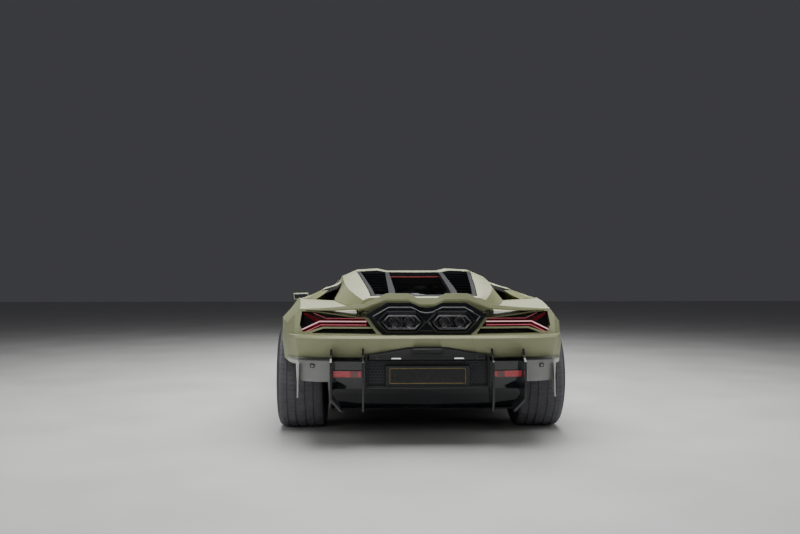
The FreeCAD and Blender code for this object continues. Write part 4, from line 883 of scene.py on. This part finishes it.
for end, v in tyreValues.items():
    shell = treadShell(v)
    face = v["width"] * 0.40 - 0.014
    ring = turned([(face + out, v["rim"] + over) for out, over in trimValues["ring"]], 96)
    nut = boss(trimValues["nutRadius"], 6, trimValues["nut"], face)
    bolt = boss(trimValues["boltRadius"], 12, trimValues["bolt"], face, trimValues["boltCircle"])
    a = np.arange(trimValues["bolts"]) * 2 * math.pi / trimValues["bolts"]
    turns = np.array([[[1, 0, 0], [0, math.cos(t), -math.sin(t)], [0, math.sin(t), math.cos(t)]] for t in a])
    trim = [ring, nut, copies(bolt, turns, np.zeros((len(a), 3)))]
    for label, side in (("left", -1), ("right", 1)):
        centre = np.array([side * v["x"], v["axle"], v["radius"]])
        name = f"tyre_{end}_{label}"
        body = nodes[name]["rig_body"]
        rubber = piece(name + ".tread", [(shell[0] + centre, shell[1])], tyreRubber, body)
        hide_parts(name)
        rubber.data.materials.append(sidewallRubber)
        middle = np.zeros(len(rubber.data.polygons) * 3)
        rubber.data.polygons.foreach_get("center", middle)
        wallFaces = np.abs(middle[::3] - centre[0]) > treadValues["wallFrom"] * v["width"]
        rubber.data.polygons.foreach_set("material_index", wallFaces.astype(np.int32))
        shells = trim if side > 0 else [mirroredShell(s) for s in trim]
        piece(f"wheelTrim_{end}_{label}", [(p + centre, f) for p, f in shells], blackForged,
              body, bevelMm=0.6)
print("wheels done")


# Directions along and out of a back that leans by degrees: (0, -sin, cos) and (0, cos, sin)
def lean(degrees):
    a = math.radians(degrees)
    return np.array([0, -math.sin(a), math.cos(a)]), np.array([0, math.cos(a), math.sin(a)])


# Seats: padded cushion, back, wings and head pad on a hard shell, all inside the CAD seat. Each pad has its
# middle, the directions across, along and out of it, its half sizes, thickness, sewn channels (places
# along it), cover and fill. The wings' x values are for the right wing of a seat.
acrossX = np.array([1.0, 0, 0])
backUp, backOut = lean(19)
headUp, headOut = lean(6)
cushionUp = np.array([0, -0.108, 0.994])
cushionBack = np.array([0, -0.994, -0.108])
seatValues = {"x": 0.390, "grooveM": 0.0055, "grooveHalf": 0.045, "roundness": 4.0, "count": 44,
              "underShare": 0.25}
padValues = {
    "seatCushion": ((0, -0.030, 0.345), acrossX, cushionBack, cushionUp, 0.165, 0.235, 0.036,
                    (-0.5, 0.0, 0.5), microSuede, 0.7),
    "seatBack": ((0, -0.335, 0.610), acrossX, backUp, backOut, 0.140, 0.225, 0.034,
                 (-0.6, -0.2, 0.2, 0.6), microSuede, 0.7),
    "seatWing": ((0.186, -0.318, 0.600), acrossX * 0.82, backUp, (-0.35, 0.89, 0.30), 0.046, 0.235, 0.040,
                 (), blackHide, 0.8),
    "thighWing": ((0.200, -0.020, 0.352), acrossX, cushionBack, cushionUp, 0.040, 0.240, 0.042,
                  (), blackHide, 0.8),
    "headPad": ((0, -0.432, 0.905), acrossX, headUp, headOut, 0.070, 0.065, 0.024,
                (), blackHide, 0.8),
}


# A pad: two crowned faces over a rounded outline that meet at the rim. Across it u and along it v run from
# -1 to 1. A square ring of the grid is pulled onto the outline |u| ** 4 + |v| ** 4 = its size ** 4. The
# front stands out by thick * sqrt(1 - max(|u|, |v|) ** 3), the back by a share of that, and a bell over v
# sinks each sewn channel into the front.
def pad(centre, across, along, out, halfU, halfV, thick, channels):
    power, count = seatValues["roundness"], seatValues["count"]
    a = np.linspace(-1, 1, count)
    u, v = np.meshgrid(a, a, indexing="ij")
    edge = np.maximum(np.abs(u), np.abs(v))
    length = (np.abs(u) ** power + np.abs(v) ** power) ** (1 / power)
    pull = np.where(edge > 0, edge / np.maximum(length, 1e-9), 1.0)
    dome = np.sqrt(np.clip(1 - edge ** 3.0, 0, 1))
    seam = np.zeros_like(u)
    for at in channels:
        seam += np.exp(-((v - at) / seatValues["grooveHalf"]) ** 2)
    lift = thick * dome - seatValues["grooveM"] * np.clip(seam, 0, 1) * dome
    base = (np.asarray(centre) + u[..., None] * pull[..., None] * halfU * np.asarray(across)
            + v[..., None] * pull[..., None] * halfV * np.asarray(along))
    front = base + lift[..., None] * np.asarray(out)
    back = base - (seatValues["underShare"] * thick * dome)[..., None] * np.asarray(out)
    index = np.arange(count * count).reshape(count, count)
    quads = np.stack([index[:-1, :-1], index[1:, :-1], index[1:, 1:], index[:-1, 1:]], -1).reshape(-1, 4)
    points = np.concatenate([front.reshape(-1, 3), back.reshape(-1, 3)])
    faces = quads.tolist() + (quads[:, ::-1] + count * count).tolist()
    if np.dot(np.cross(across, along), out) < 0:
        faces = [face[::-1] for face in faces]
    return points, faces


# One pad of the seat at x, on its side s, with the rim of its two faces merged
def seatPad(kind, tag, x, s=1):
    middle, across, along, out, halfU, halfV, thick, channels, cover, fill = padValues[kind]
    shell = pad(np.array(middle) * (s, 1, 1) + (x, 0, 0), across, along, np.array(out) * (s, 1, 1),
                halfU, halfV, thick, channels)
    thing = piece(kind + "_" + tag, [shell], cover, angle=75)
    bm = bmesh.new()
    bm.from_mesh(thing.data)
    bmesh.ops.remove_doubles(bm, verts=bm.verts, dist=1e-5)
    bm.to_mesh(thing.data)
    bm.free()
    thing.data.shade_smooth()
    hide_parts("seats")


# The hard shell behind the pads: a plate bent along its spine (y, z at places v from the front edge to the
# top), wide at those places, whose sides rise by rise * |u| ** 6
shellValues = {
    "v": [0, 0.30, 0.42, 0.90, 1.0],
    "y": [0.200, -0.300, -0.375, -0.462, -0.470], "z": [0.330, 0.285, 0.330, 0.900, 0.975],
    "wideV": [0, 0.3, 0.75, 0.88, 1.0], "wide": [0.225, 0.232, 0.215, 0.10, 0.07],
    "rise": 0.030, "thick": 0.012,
}


def seatShell(tag, x):
    v = np.linspace(0, 1, 26)
    u = np.linspace(-1, 1, 21)
    spine = np.stack([np.interp(v, shellValues["v"], shellValues[key]) for key in "yz"], 1)
    wide = np.interp(v, shellValues["wideV"], shellValues["wide"])
    rise = shellValues["rise"] * np.abs(u) ** 6
    tangent = np.gradient(spine, axis=0)
    tangent /= np.linalg.norm(tangent, axis=1)[:, None]
    normal = np.stack([tangent[:, 1], -tangent[:, 0]], 1)
    faces = []
    for depth, order in ((0.0, slice(None)), (-shellValues["thick"], slice(None, None, -1))):
        lift = (rise[order] + depth)[None, :]
        faces.append(np.stack([x + wide[:, None] * u[order][None, :], spine[:, :1] + normal[:, :1] * lift,
                               spine[:, 1:] + normal[:, 1:] * lift], -1))
    hard = piece("seatShell_" + tag, [skin(np.concatenate(faces, axis=1))], grainedAbs)
    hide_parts("seats")


for label, side in (("left", -1), ("right", 1)):
    x = side * seatValues["x"]
    seatPad("seatCushion", label, x)
    seatPad("seatBack", label, x)
    for s in (-1, 1):
        tag = label + ("_in" if s * side < 0 else "_out")
        seatPad("seatWing", tag, x, s)
        seatPad("thighWing", tag, x, s)
    seatPad("headPad", label, x)
    seatShell(label, x)
print("seats done")


# Where lines along one axis first meet a dressed node; points hold the other two coordinates, and those
# that miss it are left out
def cast(name, points, axis, start):
    bm = bmesh.new()
    bm.from_mesh(dressed[name].data)
    tree = BVHTree.FromBMesh(bm)
    bm.free()
    aim = Vector([0.0, 0.0, 0.0])
    aim[axis] = -math.copysign(1.0, start)
    hits = []
    for point in points:
        at = np.insert(np.asarray(point, float), axis, start)
        hit = tree.ray_cast(Vector(at), aim)[0]
        if hit is not None:
            hits.append(np.array(hit))
    return np.array(hits)


# A thin plate laid on a side: its (y, z) outline is cast onto the node, then lifted layer by layer
def sidePlate(name, outline, layers):
    rows = []
    for inset, lift in layers:
        rows.append(cast(name, shrunk(outline, inset), 0, 2.0) + (lift, 0, 0))
    return skin(np.array(rows))


# Flush door handles and the fuel flap: width, height and corner radius, middle (y, z) and layers
sideValues = {
    "handle": (0.170, 0.024, 0.010), "handleAt": (-0.250, 0.640),
    "handleLayers": [(0, -0.004), (0, 0.0015), (0.0015, 0.003), (0.006, 0.0035)],
    "flap": (0.150, 0.120, 0.040), "flapAt": (-0.985, 0.815),
    "flapLayers": [(0, -0.004), (0, 0.0005), (0.0012, 0.0014)],
}
handle = sidePlate("door_right", rounded(*sideValues["handle"]) + sideValues["handleAt"],
                   sideValues["handleLayers"])
flap = sidePlate("rear_quarter_right", rounded(*sideValues["flap"]) + sideValues["flapAt"],
                 sideValues["flapLayers"])
piece("doorHandle_right", [handle], blackLacquer, "door_r")
piece("doorHandle_left", [mirroredShell(handle)], blackLacquer, "door_l")
piece("fuelFlap", [flap], oliveSatinPaint)

# Mirror glasses
mirrorValues = {"outline": [(0.938, 0.862), (1.078, 0.872), (1.085, 0.932), (0.948, 0.936)],
                "inset": 0.007, "y": 0.5265, "layers": [(0, -0.004), (0, 0.0015), (0.0015, 0.0025)]}
glass = layered(shrunk(mirrorValues["outline"], mirrorValues["inset"]), mirrorValues["layers"], rearAxes,
                (0, mirrorValues["y"], 0))
piece("mirrorGlass_right", [glass], mirrorGlass, "door_r")
piece("mirrorGlass_left", [mirroredShell(glass)], mirrorGlass, "door_l")

# One wiper on the screen: plans (x, y) of its blade and arm, the blade's section (side, up), the arm's size
wiperValues = {
    "blade": [(-0.340, 0.890), (-0.100, 0.870), (0.240, 0.770)], "bladeStep": 0.04,
    "section": [(-0.004, 0.001), (0.004, 0.001), (0.003, 0.010), (0.0015, 0.016), (-0.0015, 0.016),
                (-0.003, 0.010)],
    "arm": [(0.030, 0.945), (0.010, 0.900), (-0.020, 0.862)], "armStep": 0.02,
    "armSize": (0.016, 0.010, 0.004, 2), "armLift": 0.010,
}
bladeLine = cast("cabin_glass", divided(wiperValues["blade"], wiperValues["bladeStep"]), 2, 2.0)
armLine = cast("cabin_glass", divided(wiperValues["arm"], wiperValues["armStep"]), 2, 2.0)
piece("wiper", [carried(bladeLine, wiperValues["section"]),
                carried(armLine + (0, 0, wiperValues["armLift"]), rounded(*wiperValues["armSize"]))],
      grainedAbs)

# The nose as a surface: how far forward of noseY it lies at each height, and how it sweeps back with |x|
noseProfile = np.array([(-0.020, 0.090), (0.0, 0.150), (-0.020, 0.190), (-0.064, 0.300), (-0.034, 0.462),
                        (-0.070, 0.540), (-0.150, 0.640)])
noseSweep = np.array([(0.0, 0.0), (0.420, 0.040), (0.720, 0.140), (0.900, 0.330), (1.040, 0.560)])


# y of the nose at (x, z): noseY plus the profile at z less the sweep at |x|
def noseFace(x, z):
    return (noseY + np.interp(z, noseProfile[:, 1], noseProfile[:, 0])
            - np.interp(np.abs(x), noseSweep[:, 0], noseSweep[:, 1]))


# Y-shaped light guides of the headlamps: three runs of (x, z) points
guideValues = {
    "runs": ([(0.520, 0.4385), (0.690, 0.4480)], [(0.690, 0.4480), (0.835, 0.5100)],
             [(0.690, 0.4480), (0.775, 0.4120)]),
    "radius": 0.0042, "sunk": 0.001, "step": 0.02,
}
guides = []
for run in guideValues["runs"]:
    line = divided(run, guideValues["step"])
    path = np.stack([line[:, 0], noseFace(line[:, 0], line[:, 1]) - guideValues["sunk"], line[:, 1]], 1)
    guides += both(carried(path, circle(guideValues["radius"], 8)))
piece("headlampGuides", guides, whiteGuide)

# Mesh in the front intakes, made flat and then laid back on the nose
intakeValues = {"pitch": 0.026, "wall": 0.0030, "depth": 0.008, "edge": 0.022, "sunk": 0.052,
                "outline": [(0.300, 0.200), (0.800, 0.200), (0.760, 0.385), (0.640, 0.400), (0.420, 0.350)]}
cells = cellMiddles(shrunk(intakeValues["outline"], intakeValues["edge"]), intakeValues["pitch"])
points, faces = honeycomb(cells, intakeValues, ((1, 0, 0), (0, 0, 1), (0, 1, 0)), (0, 0, 0))
points[:, 1] += noseFace(points[:, 0], points[:, 2]) - intakeValues["sunk"]
piece("frontMesh", both((points, faces)), meshBlack)

# Instrument and centre screens, and four six-sided air vents along the dash, which leans by its own axes:
# width, height and corner radius of a screen, its height over the dash and its place (x, z)
dashAxes = ((1, 0, 0), (0, 0.26, 0.966), (0, -0.966, 0.26))
dashValues = {
    "y": 0.552, "screenEdge": 0.002,
    "screens": (((0.250, 0.090, 0.012), 0.006, (-0.390, 0.690)), ((0.150, 0.170, 0.012), 0.008, (0, 0.630))),
    "vent": [(0.0, -0.006), (0.0, 0.006), (0.004, 0.008), (0.009, 0.002), (0.009, -0.006)],
    "ventRadius": 0.036, "ventSquash": 0.8, "ventX": (0.16, 0.62), "ventZ": 0.640,
}
screens = []
for size, high, (x, z) in dashValues["screens"]:
    screenLayers = [(0, -0.01), (0, high), (dashValues["screenEdge"], high + dashValues["screenEdge"])]
    screens.append(layered(rounded(*size), screenLayers, dashAxes, (x, dashValues["y"], z)))
piece("dashScreens", screens, screenGlass)
vents = []
for x in dashValues["ventX"]:
    ventOutline = circle(dashValues["ventRadius"], 6, dashValues["ventSquash"]) + (x, 0)
    ventAt = (0, dashValues["y"], dashValues["ventZ"])
    vents += both(framed(ventOutline, dashValues["vent"], dashAxes, ventAt))
piece("dashVents", vents, blackForged)
print("body details done")

# Studio: a pale floor just under the tyres, a large soft light overhead and weaker ones all round. Each
# light has its place, what it looks at, its two sizes and its power in watts.
studioValues = {
    "floorSize": 60, "floorZ": -0.0005, "world": (0.05, 0.05, 0.055, 1), "worldStrength": 1.0,
    "lights": {
        "overhead": ((0, 0.0, 4.6), (0, 0, 0), (5, 9), 650),
        "behind": ((-1.5, -8.5, 3.0), (0, -2, 0.5), (6, 2.0), 80),
        "leftSide": ((-6.5, -2, 3.0), (0, -1, 0.5), (2.5, 6), 115),
        "rightSide": ((6.5, -2, 3.0), (0, -1, 0.5), (2.5, 6), 115),
        "ahead": ((0, 8.5, 3.0), (0, 2, 0.5), (6, 2.0), 20),
    },
}
bpy.ops.mesh.primitive_plane_add(size=studioValues["floorSize"], location=(0, 0, studioValues["floorZ"]))
floor = bpy.context.object
floor.name = "floor"
floor.data.materials.append(paleFloor)
for name, (place, target, size, power) in studioValues["lights"].items():
    data = bpy.data.lights.new(name, "AREA")
    data.shape = "RECTANGLE"
    data.size, data.size_y = size
    data.energy = power
    lamp = bpy.data.objects.new(name, data)
    lamp.location = place
    lamp.rotation_euler = (Vector(target) - Vector(place)).to_track_quat("-Z", "Y").to_euler()
    scene.collection.objects.link(lamp)
world = bpy.data.worlds.new("studio")
scene.world = world
world.use_nodes = True
background = world.node_tree.nodes["Background"]
background.inputs["Color"].default_value = studioValues["world"]
background.inputs["Strength"].default_value = studioValues["worldStrength"]

# Camera at the photograph's angle: behind the rear axle, nearly as high as the roof and a little to the
# car's left. Angles are in degrees, lens and sensor in millimetres.
cameraValues = {"x": -0.390, "back": 6.64, "z": 1.10, "pitch": 0.54, "yaw": -2.149, "lens": 40.5,
                "sensor": 36.0}
camData = bpy.data.cameras.new("camera")
camData.sensor_width = cameraValues["sensor"]
camData.lens = cameraValues["lens"]
camera = bpy.data.objects.new("camera", camData)
camera.location = (cameraValues["x"], rearAxle - cameraValues["back"], cameraValues["z"])
camera.rotation_euler = (math.radians(90 + cameraValues["pitch"]), 0, math.radians(cameraValues["yaw"]))
scene.collection.objects.link(camera)
scene.camera = camera

print("stage set")
